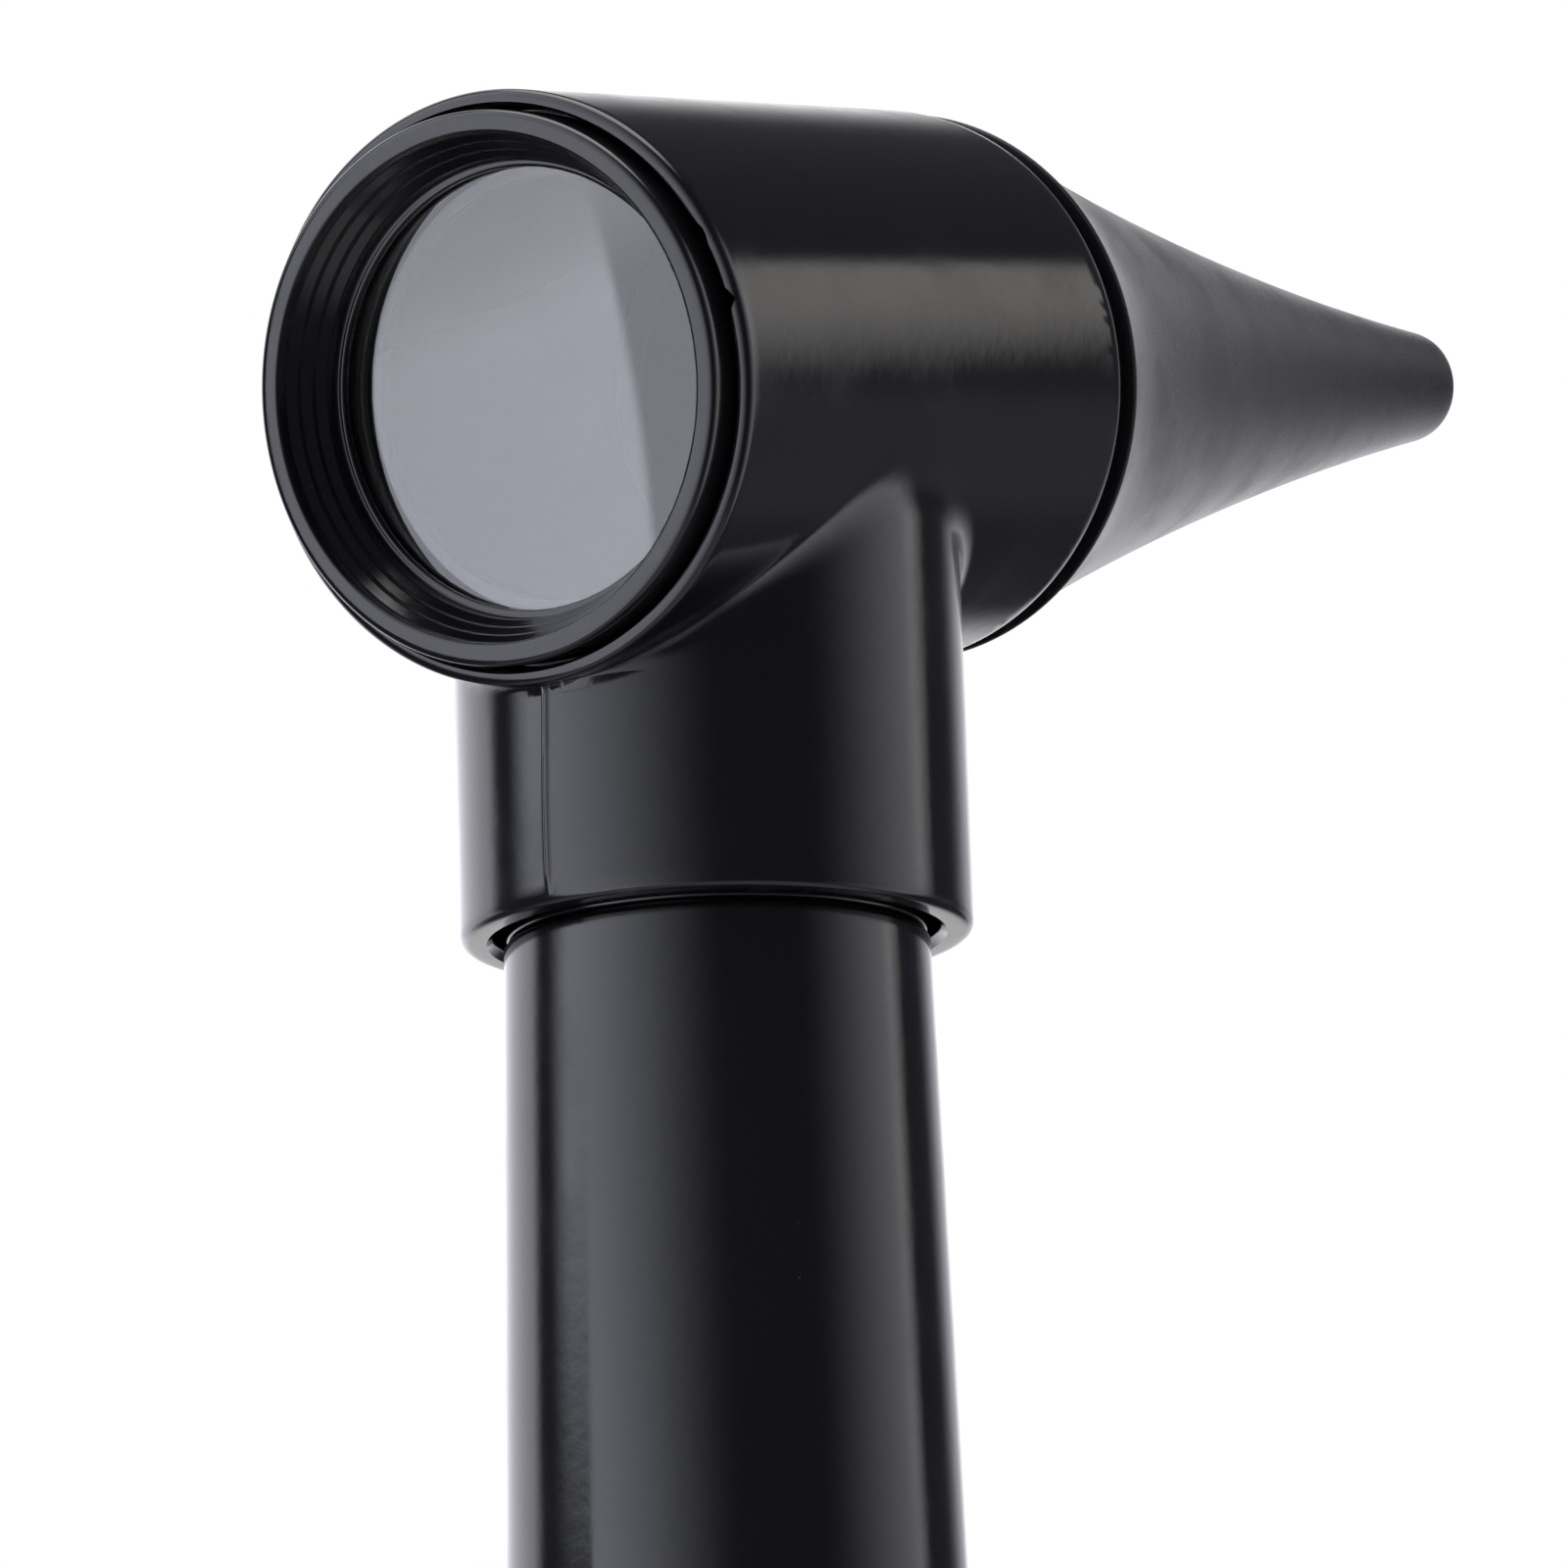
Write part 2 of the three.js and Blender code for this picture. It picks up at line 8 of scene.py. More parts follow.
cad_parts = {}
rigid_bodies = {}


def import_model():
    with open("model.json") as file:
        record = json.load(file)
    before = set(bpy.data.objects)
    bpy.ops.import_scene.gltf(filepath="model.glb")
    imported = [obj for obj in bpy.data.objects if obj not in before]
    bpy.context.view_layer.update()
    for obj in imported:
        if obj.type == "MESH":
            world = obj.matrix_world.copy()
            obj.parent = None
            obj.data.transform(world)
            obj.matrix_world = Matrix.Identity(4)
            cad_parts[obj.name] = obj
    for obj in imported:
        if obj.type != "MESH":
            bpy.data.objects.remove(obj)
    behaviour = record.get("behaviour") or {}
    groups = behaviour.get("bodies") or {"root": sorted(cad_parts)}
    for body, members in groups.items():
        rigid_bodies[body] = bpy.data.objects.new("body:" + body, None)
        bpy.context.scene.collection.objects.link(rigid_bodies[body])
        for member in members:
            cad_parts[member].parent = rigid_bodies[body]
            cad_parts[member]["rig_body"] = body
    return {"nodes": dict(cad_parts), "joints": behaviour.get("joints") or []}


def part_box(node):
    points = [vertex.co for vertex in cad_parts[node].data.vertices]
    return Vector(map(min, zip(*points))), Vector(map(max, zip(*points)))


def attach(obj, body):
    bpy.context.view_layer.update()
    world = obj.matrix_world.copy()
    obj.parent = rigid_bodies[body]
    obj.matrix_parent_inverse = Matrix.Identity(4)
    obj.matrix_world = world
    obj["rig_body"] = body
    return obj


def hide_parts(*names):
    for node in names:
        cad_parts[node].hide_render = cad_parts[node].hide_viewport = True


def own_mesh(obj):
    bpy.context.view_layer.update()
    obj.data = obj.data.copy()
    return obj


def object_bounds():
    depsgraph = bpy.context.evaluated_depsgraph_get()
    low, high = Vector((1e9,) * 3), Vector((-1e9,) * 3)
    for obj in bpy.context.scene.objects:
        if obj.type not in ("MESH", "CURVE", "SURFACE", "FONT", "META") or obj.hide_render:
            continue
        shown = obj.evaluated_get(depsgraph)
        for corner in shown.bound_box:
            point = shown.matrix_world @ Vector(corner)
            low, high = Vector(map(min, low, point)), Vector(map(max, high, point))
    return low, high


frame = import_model()
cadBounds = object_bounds()
print("frame loaded:", len(frame["nodes"]), "nodes")

mm = 0.001
axisOf = {joint["name"]: Vector(joint["axis"]).normalized() for joint in frame["joints"]}
sightAxis = axisOf["speculum_pull"]     # from the eye towards the ear
sightUp = Vector((0, -sightAxis.z, sightAxis.y))
lensLow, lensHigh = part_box("magnifier_lens")
lensMiddle = (lensLow + lensHigh) / 2
crossing = Vector((0, 0, lensMiddle.z - lensMiddle.y * sightAxis.z / sightAxis.y))
crossingZ = crossing.z / mm


def span(node):                         # low, high and radius of an upright turned node, in mm
    low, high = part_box(node)
    return low.z / mm, high.z / mm, high.x / mm


# The camera looks up at the eyepiece from its right, at the point where the two axes cross.
viewpoint = {
    "azimuth": 33.93,                   # degrees round from the eyepiece side
    "elevation": -12.88,
    "roll": -1.92,
    "distance": 234,                    # mm from where the two axes cross
    "across": 2.22,
    "rise": -12.48,
    "lens": 171.5,
}


def makeCamera():
    azimuth = math.radians(viewpoint["azimuth"])
    elevation = math.radians(viewpoint["elevation"])
    back = Vector((math.sin(azimuth) * math.cos(elevation),
                   -math.cos(azimuth) * math.cos(elevation), math.sin(elevation)))
    right = Vector((math.cos(azimuth), math.sin(azimuth), 0))
    up = back.cross(right)
    place = crossing + mm * (right * viewpoint["across"] + up * viewpoint["rise"]
                             + back * viewpoint["distance"])
    roll = math.radians(viewpoint["roll"])
    sideways = right * math.cos(roll) + up * math.sin(roll)
    upwards = up * math.cos(roll) - right * math.sin(roll)
    data = bpy.data.cameras.new("camera")
    data.lens = viewpoint["lens"]
    data.sensor_width = 36
    data.clip_start = 0.01
    camera = bpy.data.objects.new("camera", data)
    turn = Matrix((sideways, upwards, back)).transposed().to_4x4()
    camera.matrix_world = Matrix.Translation(place) @ turn
    bpy.context.scene.collection.objects.link(camera)
    bpy.context.scene.camera = camera


makeCamera()
print("camera placed")


def addNode(tree, kind, values=None, **settings):
    made = tree.nodes.new(kind)
    for key, value in settings.items():
        setattr(made, key, value)
    for key, value in (values or {}).items():
        if isinstance(value, bpy.types.NodeSocket):
            tree.links.new(value, made.inputs[key])
        else:
            made.inputs[key].default_value = value
    return made


def calculate(tree, operation, *values):
    values = dict(enumerate(values))
    return addNode(tree, "ShaderNodeMath", values, operation=operation).outputs[0]


def vectorMath(tree, operation, first, second):
    values = {0: first, "Scale" if operation == "SCALE" else 1: second}
    made = addNode(tree, "ShaderNodeVectorMath", values, operation=operation)
    return made.outputs["Value" if operation == "DOT_PRODUCT" else "Vector"]


def smoothBetween(tree, value, start, end):
    values = {"Value": value, "From Min": start, "From Max": end}
    made = addNode(tree, "ShaderNodeMapRange", values, interpolation_type="SMOOTHSTEP")
    return made.outputs["Result"]


def noiseAt(tree, place, scale, detail=2.0, roughness=0.5):
    values = {"Vector": place, "Scale": scale, "Detail": detail, "Roughness": roughness}
    return addNode(tree, "ShaderNodeTexNoise", values).outputs["Fac"]


# The studio is a set of soft windows in the sky. Bearings run round the handle from the camera,
# positive to its right, and heights run up from level, both in degrees.
softboxes = {
    "key": {"bearings": (-104, -86, -85, 5), "heights": (8, 12, 50, 70),
            "strength": 2.7, "tint": (0.93, 0.95, 1.06)},
    "lowKey": {"bearings": (-76.2, -75, -74, 5), "heights": (-55, -45, 8, 12),
               "strength": 2.7, "tint": (0.93, 0.95, 1.06)},
    "leftWall": {"bearings": (-178, -160, -121, -110), "heights": (-30, -10, 45, 65),
                 "strength": 1.7, "tint": (0.97, 0.95, 1.04)},
    "rightStrip": {"bearings": (44, 104, 104, 114), "heights": (-50, -30, 30, 45),
                   "strength": 1.4, "tint": (0.96, 0.97, 1.04)},
    "rightPanel": {"bearings": (98, 108, 113, 116), "heights": (1, 26, 31, 32.4), "lean": 0.35,
                   "strength": 1.2, "tint": (1.04, 1.0, 0.94)},
    "lowRight": {"bearings": (100, 108, 126, 138), "heights": (-26, -16, 0, 8),
                 "strength": 0.12, "tint": (0.96, 0.96, 1.1)},
    "backdrop": {"bearings": (132, 157, 162, 176), "heights": (-16, -6, 22, 34),
                 "strength": 0.85, "tint": (0.98, 0.98, 1.05)},
    "ground": {"bearings": (-400, -399, 399, 400), "heights": (-110, -100, -60, -36),
               "strength": 0.5, "tint": (1, 1, 1)},
    "ceiling": {"bearings": (-400, -399, 399, 400), "heights": (58, 70, 100, 110),
                "strength": 3.2, "tint": (1, 1, 1)},
}
backWall = {
    "bearings": (158, 176), "heights": (-40, -6, 20, 42), "strength": 1.15,
    "fill": (0.078, 0.08, 0.095),       # the faint light from everywhere else
}
panelTop = {"scale": 200, "roughness": 0.6, "reach": 10.0, "leanFrom": 13}


def buildStudio():
    world = bpy.data.worlds.new("studio")
    bpy.context.scene.world = world
    world.use_nodes = True
    tree = world.node_tree
    tree.nodes.clear()
    azimuth = math.radians(viewpoint["azimuth"])
    towards = addNode(tree, "ShaderNodeTexCoord").outputs["Generated"]
    across = vectorMath(tree, "DOT_PRODUCT", towards, (math.cos(azimuth), math.sin(azimuth), 0))
    nearer = vectorMath(tree, "DOT_PRODUCT", towards, (math.sin(azimuth), -math.cos(azimuth), 0))
    bearing = calculate(tree, "DEGREES", calculate(tree, "ARCTAN2", across, nearer))
    rise = addNode(tree, "ShaderNodeSeparateXYZ", {0: towards}).outputs["Z"]
    height = calculate(tree, "DEGREES", calculate(tree, "ARCSINE", rise))
    ripple = noiseAt(tree, towards, panelTop["scale"], 2.0, panelTop["roughness"])
    ripple = calculate(tree, "SUBTRACT", ripple, 0.5)
    rippled = calculate(tree, "MULTIPLY_ADD", ripple, panelTop["reach"], height)

    def window(value, edges, upper=None):
        opening = smoothBetween(tree, value, edges[0], edges[1])
        closing = smoothBetween(tree, upper or value, edges[3], edges[2])
        return calculate(tree, "MULTIPLY", opening, closing)

    total = None
    for light in softboxes.values():
        top = height
        side = bearing
        if "lean" in light:             # a panel that leans, with a ragged top
            top = rippled
            above = calculate(tree, "SUBTRACT", height, panelTop["leanFrom"])
            side = calculate(tree, "MULTIPLY_ADD", above, -light["lean"], bearing)
        wide = window(side, light["bearings"])
        glow = calculate(tree, "MULTIPLY", wide, window(height, light["heights"], top))
        glow = calculate(tree, "MULTIPLY", glow, light["strength"])
        tinted = vectorMath(tree, "SCALE", light["tint"], glow)
        total = tinted if total is None else vectorMath(tree, "ADD", total, tinted)
    beyond = smoothBetween(tree, calculate(tree, "ABSOLUTE", bearing), *backWall["bearings"])
    wall = calculate(tree, "MULTIPLY", beyond, window(height, backWall["heights"]))
    wall = calculate(tree, "MULTIPLY", wall, backWall["strength"])
    total = vectorMath(tree, "ADD", total, backWall["fill"])
    total = vectorMath(tree, "ADD", total, wall)
    lit = addNode(tree, "ShaderNodeBackground", {"Color": total, "Strength": 1.0}).outputs[0]
    plain = addNode(tree, "ShaderNodeBackground", {"Color": (1, 1, 1, 1), "Strength": 1.0}).outputs[0]
    seen = addNode(tree, "ShaderNodeLightPath").outputs["Is Camera Ray"]
    mixed = addNode(tree, "ShaderNodeMixShader", {0: seen, 1: lit, 2: plain}).outputs[0]
    addNode(tree, "ShaderNodeOutputWorld", {"Surface": mixed})


buildStudio()
bpy.context.scene.view_settings.view_transform = "Standard"
print("studio lit")


def newGroup(name, inputs, outputs):
    group = bpy.data.node_groups.new(name, "ShaderNodeTree")
    for label, value in inputs.items():
        socket = group.interface.new_socket(label, in_out="INPUT", socket_type="NodeSocketFloat")
        socket.default_value = value
    for label in outputs:
        group.interface.new_socket(label, in_out="OUTPUT", socket_type="NodeSocketFloat")
    return group, addNode(group, "NodeGroupInput").outputs, addNode(group, "NodeGroupOutput").inputs


def millimetres(tree):                  # object coordinates, one unit to the millimetre
    place = addNode(tree, "ShaderNodeTexCoord").outputs["Object"]
    return vectorMath(tree, "SCALE", place, 1000.0)


# The faint orange peel of a moulded face, and slow clouding across it.
def makeMouldSkin():
    inputs = {"Grain": 3.0, "Wave": 0.25, "Wave Share": 0.6}
    tree, given, result = newGroup("mould skin", inputs, ["Height", "Clouding"])
    place = millimetres(tree)
    grain = noiseAt(tree, place, given["Grain"], 3.0)
    wave = noiseAt(tree, place, given["Wave"], 1.0)
    mixed = addNode(tree, "ShaderNodeMix", {0: given["Wave Share"], 2: grain, 3: wave}).outputs[0]
    tree.links.new(mixed, result["Height"])
    tree.links.new(noiseAt(tree, place, 0.11, 4.0, 0.6), result["Clouding"])
    return tree


# Handling: rubbed edges, hair scratches and finger smudges.
def makeHandling():
    inputs = {"Edge Reach": 0.52, "Scratch Width": 0.012, "Smudge Size": 0.3}
    tree, given, result = newGroup("handling", inputs, ["Edges", "Scratches", "Smudges"])
    place = millimetres(tree)
    point = addNode(tree, "ShaderNodeNewGeometry").outputs["Pointiness"]
    patchy = noiseAt(tree, place, 1.4, 3.0)
    fullyWorn = calculate(tree, "ADD", given["Edge Reach"], 0.06)
    ridge = smoothBetween(tree, point, given["Edge Reach"], fullyWorn)
    rubbed = calculate(tree, "MULTIPLY", ridge, smoothBetween(tree, patchy, 0.35, 0.6))
    tree.links.new(rubbed, result["Edges"])
    hair = None
    for turn in (0.5, 2.1):
        turns = (turn, turn * 0.6, turn * 1.7)
        values = {"Vector": place, "Rotation": turns, "Scale": (3.1, 0.08, 0.5)}
        leaning = addNode(tree, "ShaderNodeMapping", values).outputs[0]
        streak = noiseAt(tree, leaning, 1.0, 1.0)
        line = calculate(tree, "ABSOLUTE", calculate(tree, "SUBTRACT", streak, 0.5))
        line = smoothBetween(tree, line, given["Scratch Width"], 0.0)
        hair = line if hair is None else calculate(tree, "MAXIMUM", hair, line)
    sparse = smoothBetween(tree, noiseAt(tree, place, 0.35, 2.0), 0.56, 0.66)
    tree.links.new(calculate(tree, "MULTIPLY", hair, sparse), result["Scratches"])
    smudge = noiseAt(tree, place, given["Smudge Size"], 5.0, 0.62)
    tree.links.new(smoothBetween(tree, smudge, 0.42, 0.68), result["Smudges"])
    return tree


# Lint and dust specks.
def makeDust():
    tree, given, result = newGroup("dust", {"Spacing": 1.1, "Speck": 0.035}, ["Specks"])
    place = millimetres(tree)
    cells = addNode(tree, "ShaderNodeTexVoronoi", {"Vector": place, "Scale": given["Spacing"]})
    near = smoothBetween(tree, cells.outputs["Distance"], given["Speck"], 0.0)
    chosen = addNode(tree, "ShaderNodeSeparateColor", {0: cells.outputs["Color"]}).outputs[0]
    kept = calculate(tree, "GREATER_THAN", chosen, 0.72)
    tree.links.new(calculate(tree, "MULTIPLY", near, kept), result["Specks"])
    return tree


# Tool marks that run round the handle's axis, or along a strip.
def makeToolMarks():
    tree, given, result = newGroup("tool marks", {"Fineness": 9.0, "Round": 1.0}, ["Height", "Streaks"])
    place = millimetres(tree)
    parts = addNode(tree, "ShaderNodeSeparateXYZ", {0: place}).outputs
    reach = calculate(tree, "SQRT", calculate(
        tree, "ADD", calculate(tree, "MULTIPLY", parts["X"], parts["X"]),
        calculate(tree, "MULTIPLY", parts["Y"], parts["Y"])))
    around = addNode(tree, "ShaderNodeCombineXYZ", {0: reach, 2: parts["Z"]}).outputs[0]
    along = vectorMath(tree, "MULTIPLY", place, (1.0, 1.0, 0.03))
    chosen = addNode(tree, "ShaderNodeMix", {"Factor": given["Round"], "A": along, "B": around},
                     data_type="VECTOR")
    tree.links.new(noiseAt(tree, chosen.outputs[1], given["Fineness"], 3.0, 0.7), result["Height"])
    tree.links.new(noiseAt(tree, chosen.outputs[1], 1.3, 3.0, 0.6), result["Streaks"])
    return tree


effects = {
    "skin": makeMouldSkin(),
    "handling": makeHandling(),
    "dust": makeDust(),
    "marks": makeToolMarks(),
}


def newMaterial(name, color, roughness, **plainValues):
    material = bpy.data.materials.new(name)
    material.use_nodes = True
    material.diffuse_color = (*color, 1)
    tree = material.node_tree
    surface = tree.nodes["Principled BSDF"]
    surface.inputs["Base Color"].default_value = (*color, 1)
    surface.inputs["Roughness"].default_value = roughness
    for label, value in plainValues.items():
        surface.inputs[label.replace("_", " ")].default_value = value
    return material, tree, surface.inputs


def useEffect(tree, name, **values):
    made = addNode(tree, "ShaderNodeGroup", node_tree=effects[name])
    for label, value in values.items():
        made.inputs[label.replace("_", " ")].default_value = value
    return made.outputs


def blendColor(tree, factor, first, second):
    made = addNode(tree, "ShaderNodeMix", {"Factor": factor}, data_type="RGBA")
    for slotNumber, color in ((6, first), (7, second)):
        if isinstance(color, bpy.types.NodeSocket):
            tree.links.new(color, made.inputs[slotNumber])
        else:
            made.inputs[slotNumber].default_value = (*color, 1)
    return made.outputs[2]


def remap(tree, value, low, high):
    values = {"Value": value, "To Min": low, "To Max": high}
    return addNode(tree, "ShaderNodeMapRange", values).outputs["Result"]


def addBump(tree, surface, height, distance, strength=1.0):
    bump = addNode(tree, "ShaderNodeBump", {"Height": height, "Distance": distance, "Strength": strength})
    tree.links.new(bump.outputs[0], surface["Normal"])


# Moulded plastics and rubber: one recipe, different numbers.
def mouldedFinish(name, color, worn, roughness, skin, bump, dusty=0.25, plainValues=None):
    material, tree, surface = newMaterial(name, color, sum(roughness) / 2, **(plainValues or {}))
    peel = useEffect(tree, "skin", **skin)
    used = useEffect(tree, "handling")
    specks = useEffect(tree, "dust")["Specks"]
    cloudy = blendColor(tree, peel["Clouding"], [c * 0.75 for c in color], [c * 1.3 for c in color])
    rubbed = blendColor(tree, used["Edges"], cloudy, worn)
    dust = blendColor(tree, calculate(tree, "MULTIPLY", specks, dusty), rubbed, (0.35, 0.34, 0.32))
    tree.links.new(dust, surface["Base Color"])
    rough = remap(tree, used["Smudges"], *roughness)
    rough = calculate(tree, "MULTIPLY_ADD", used["Scratches"], 0.03, rough)
    rough = calculate(tree, "MULTIPLY_ADD", specks, dusty, rough)
    tree.links.new(rough, surface["Roughness"])
    addBump(tree, surface, peel["Height"], bump)
    return material


def metalFinish(name, color, dark, roughness, marks, bump):
    material, tree, surface = newMaterial(name, color, sum(roughness) / 2, Metallic=1.0)
    tool = useEffect(tree, "marks", **marks)
    used = useEffect(tree, "handling", Smudge_Size=0.5)
    tarnish = blendColor(tree, used["Smudges"], color, dark)
    share = remap(tree, tool["Streaks"], 0.0, 0.5)
    streaked = blendColor(tree, share, tarnish, [c * 0.82 for c in color])
    tree.links.new(streaked, surface["Base Color"])
    rough = remap(tree, tool["Streaks"], *roughness)
    rough = calculate(tree, "MULTIPLY_ADD", used["Smudges"], 0.1, rough)
    tree.links.new(rough, surface["Roughness"])
    addBump(tree, surface, tool["Height"], bump)
    return material


def clearFinish(name, color, ior, roughness):
    material, tree, surface = newMaterial(name, color, roughness, IOR=ior, Transmission_Weight=1.0)
    used = useEffect(tree, "handling", Smudge_Size=0.2)
    specks = useEffect(tree, "dust", Spacing=0.4, Speck=0.012)["Specks"]
    tree.links.new(calculate(tree, "MULTIPLY_ADD", specks, 0.3, roughness), surface["Roughness"])
    smeared = blendColor(tree, used["Smudges"], color, [c * 0.97 for c in color])
    tree.links.new(blendColor(tree, specks, smeared, (0.7, 0.7, 0.68)), surface["Base Color"])
    return material


fineSkin = {"Grain": 2.2, "Wave": 0.22, "Wave_Share": 0.75}
finishes = {
    "gloss": mouldedFinish("gloss black plastic", (0.0042, 0.0042, 0.0052), (0.012, 0.012, 0.013),
                           (0.11, 0.17), fineSkin, 0.000012),
    "satin": mouldedFinish("satin black plastic", (0.008, 0.008, 0.0095), (0.02, 0.02, 0.02),
                           (0.27, 0.33), {"Grain": 9.0, "Wave": 0.4, "Wave_Share": 0.2}, 0.000008),
    "inner": mouldedFinish("matt inner plastic", (0.008, 0.008, 0.008), (0.02, 0.02, 0.02),
                           (0.42, 0.55), {"Grain": 7.0, "Wave": 0.4, "Wave_Share": 0.2}, 0.00003),
    "rubber": mouldedFinish("seal rubber", (0.008, 0.008, 0.008), (0.02, 0.02, 0.02),
                            (0.5, 0.62), {"Grain": 11.0, "Wave": 0.8, "Wave_Share": 0.2}, 0.00002, 0.5),
    "white": mouldedFinish("white lamp plastic", (0.66, 0.66, 0.63), (0.72, 0.72, 0.7),
                           (0.38, 0.5), {"Grain": 6.0, "Wave": 0.5, "Wave_Share": 0.3}, 0.00002, 0.1),
    "jacket": mouldedFinish("battery sleeve", (0.05, 0.13, 0.28), (0.25, 0.27, 0.3),
                            (0.24, 0.34), {"Grain": 1.2, "Wave": 0.3, "Wave_Share": 0.6}, 0.00003, 0.1),
    "brass": metalFinish("turned brass", (0.66, 0.47, 0.19), (0.34, 0.22, 0.09), (0.2, 0.34),
                         {"Fineness": 9.0, "Round": 1.0}, 0.00001),
    "strip": metalFinish("rolled brass strip", (0.66, 0.47, 0.19), (0.36, 0.24, 0.1), (0.22, 0.36),
                         {"Fineness": 8.0, "Round": 0.0}, 0.00001),
    "wire": metalFinish("drawn spring wire", (0.5, 0.5, 0.5), (0.3, 0.3, 0.3), (0.22, 0.36),
                        {"Fineness": 12.0, "Round": 0.0}, 0.000006),
    "nickel": metalFinish("plated clip steel", (0.47, 0.47, 0.48), (0.34, 0.34, 0.34), (0.26, 0.36),
                          {"Fineness": 7.0, "Round": 0.0}, 0.000006),
    "aluminium": metalFinish("satin aluminium", (0.74, 0.75, 0.77), (0.55, 0.55, 0.56), (0.28, 0.4),
                             {"Fineness": 10.0, "Round": 1.0}, 0.000012),
    "glass": clearFinish("magnifier glass", (0.95, 0.97, 0.98), 1.7, 0.0),
    "acrylic": clearFinish("light guide acrylic", (0.97, 0.98, 0.98), 1.49, 0.02),
    "dome": clearFinish("lamp dome resin", (0.97, 0.97, 0.93), 1.52, 0.03),
}
print("finishes mixed:", len(finishes))


# Corners with a third number are rounded to that size. Long runs get rows no further apart than step.
def drawOutline(outline, closed, step, arcSteps=6):
    count = len(outline)
    drawn = []
    for i, corner in enumerate(outline):
        here = Vector(corner[:2])
        rounding = corner[2] if len(corner) > 2 else 0
        if rounding == 0 or (not closed and i in (0, count - 1)):
            drawn.append(here)
            continue
        before = Vector(outline[i - 1][:2]) - here
        after = Vector(outline[(i + 1) % count][:2]) - here
        reach = min(rounding, before.length * 0.48, after.length * 0.48)
        start = here + before.normalized() * reach
        end = here + after.normalized() * reach
        for k in range(arcSteps + 1):
            t = k / arcSteps
            drawn.append(start * (1 - t) ** 2 + here * 2 * t * (1 - t) + end * t * t)
    if step is None:
        return drawn
    rows = []
    for i, point in enumerate(drawn):
        rows.append(point)
        if i == len(drawn) - 1 and not closed:
            break
        following = drawn[(i + 1) % len(drawn)]
        pieces = math.ceil((following - point).length / step)
        rows += [point.lerp(following, k / pieces) for k in range(1, pieces)]
    return rows


def evenAngles(sides):
    return [2 * math.pi * i / sides for i in range(sides)]


def shadeSmooth(mesh, angle=32):
    mesh.polygons.foreach_set("use_smooth", [True] * len(mesh.polygons))
    mesh.set_sharp_from_angle(angle=math.radians(angle))


def meshObject(name, verts, faces, smoothAngle=32):
    mesh = bpy.data.meshes.new(name)
    mesh.from_pydata(verts, [], faces)
    shell = bmesh.new()
    shell.from_mesh(mesh)
    bmesh.ops.recalc_face_normals(shell, faces=shell.faces)
    shell.to_mesh(mesh)
    shell.free()
    shadeSmooth(mesh, smoothAngle)
    made = bpy.data.objects.new(name, mesh)
    bpy.context.scene.collection.objects.link(made)
    return made


# A mesh turned from an outline of (radius, height) in mm, then set in place in the frame.
def turned(name, outline, place=None, sides=128, step=None, shape=None, angles=None):
    closed = not (outline[0][0] == 0 and outline[-1][0] == 0)
    rows = drawOutline(outline, closed, step)
    angles = angles or evenAngles(sides)
    verts = []
    rings = []
    for radius, height in rows:
        if radius < 1e-6:
            rings.append([len(verts)])
            verts.append(Vector((0, 0, height)))
            continue
        rings.append(list(range(len(verts), len(verts) + len(angles))))
        for angle in angles:
            reach = shape(radius, height, angle) if shape else radius
            verts.append(Vector((reach * math.cos(angle), reach * math.sin(angle), height)))
    faces = []
    count = len(angles)
    pairs = list(zip(rings, rings[1:]))
    if closed:
        pairs.append((rings[-1], rings[0]))
    for low, high in pairs:
        for k in range(count):
            n = (k + 1) % count
            if len(low) == 1 and len(high) == 1:
                continue
            if len(low) == 1:
                faces.append((low[0], high[n], high[k]))
            elif len(high) == 1:
                faces.append((low[k], low[n], high[0]))
            else:
                faces.append((low[k], low[n], high[n], high[k]))
    place = place or Matrix.Identity(4)
    verts = [place @ (v * mm) for v in verts]
    return meshObject(name, verts, faces)


# Heights of a piece turned about the sight axis run towards the ear, from the crossing.
sightPlace = Matrix.Translation(crossing) @ Matrix((
    (1, 0, 0), (0, sightAxis.z, sightAxis.y), (0, -sightAxis.y, sightAxis.z))).to_4x4()


def turnedOnSight(name, outline, **settings):
    return turned(name, outline, place=sightPlace, **settings)


# A round bar or wire swept along points in mm, with its ends closed.
def swept(name, points, radius, sides=12):
    points = [Vector(p) for p in points]
    rings = []
    verts = []
    tangent = (points[1] - points[0]).normalized()
    side = tangent.orthogonal().normalized()
    for i, point in enumerate(points):
        before = points[max(i - 1, 0)]
        after = points[min(i + 1, len(points) - 1)]
        heading = (after - before).normalized()
        side = tangent.rotation_difference(heading) @ side
        tangent = heading
        across = tangent.cross(side)
        ends = ((1.0, 0.0),)
        if i == 0:
            ends = ((0.6, -0.3), (1.0, 0.0))
        if i == len(points) - 1:
            ends = ((1.0, 0.0), (0.6, 0.3))
        for share, offset in ends:
            rings.append(list(range(len(verts), len(verts) + sides)))
            for angle in evenAngles(sides):
                ray = side * math.cos(angle) + across * math.sin(angle)
                verts.append((point + ray * radius * share + tangent * radius * offset) * mm)
    faces = []
    for low, high in zip(rings, rings[1:]):
        for k in range(sides):
            n = (k + 1) % sides
            faces.append((low[k], low[n], high[n], high[k]))
    faces.append(tuple(reversed(rings[0])))
    faces.append(tuple(rings[-1]))
    return meshObject(name, verts, faces, 40)


def applyModifiers(made):
    dependencies = bpy.context.evaluated_depsgraph_get()
    finished = bpy.data.meshes.new_from_object(made.evaluated_get(dependencies))
    old = made.data
    made.modifiers.clear()
    made.data = finished
    bpy.data.meshes.remove(old)
    return made


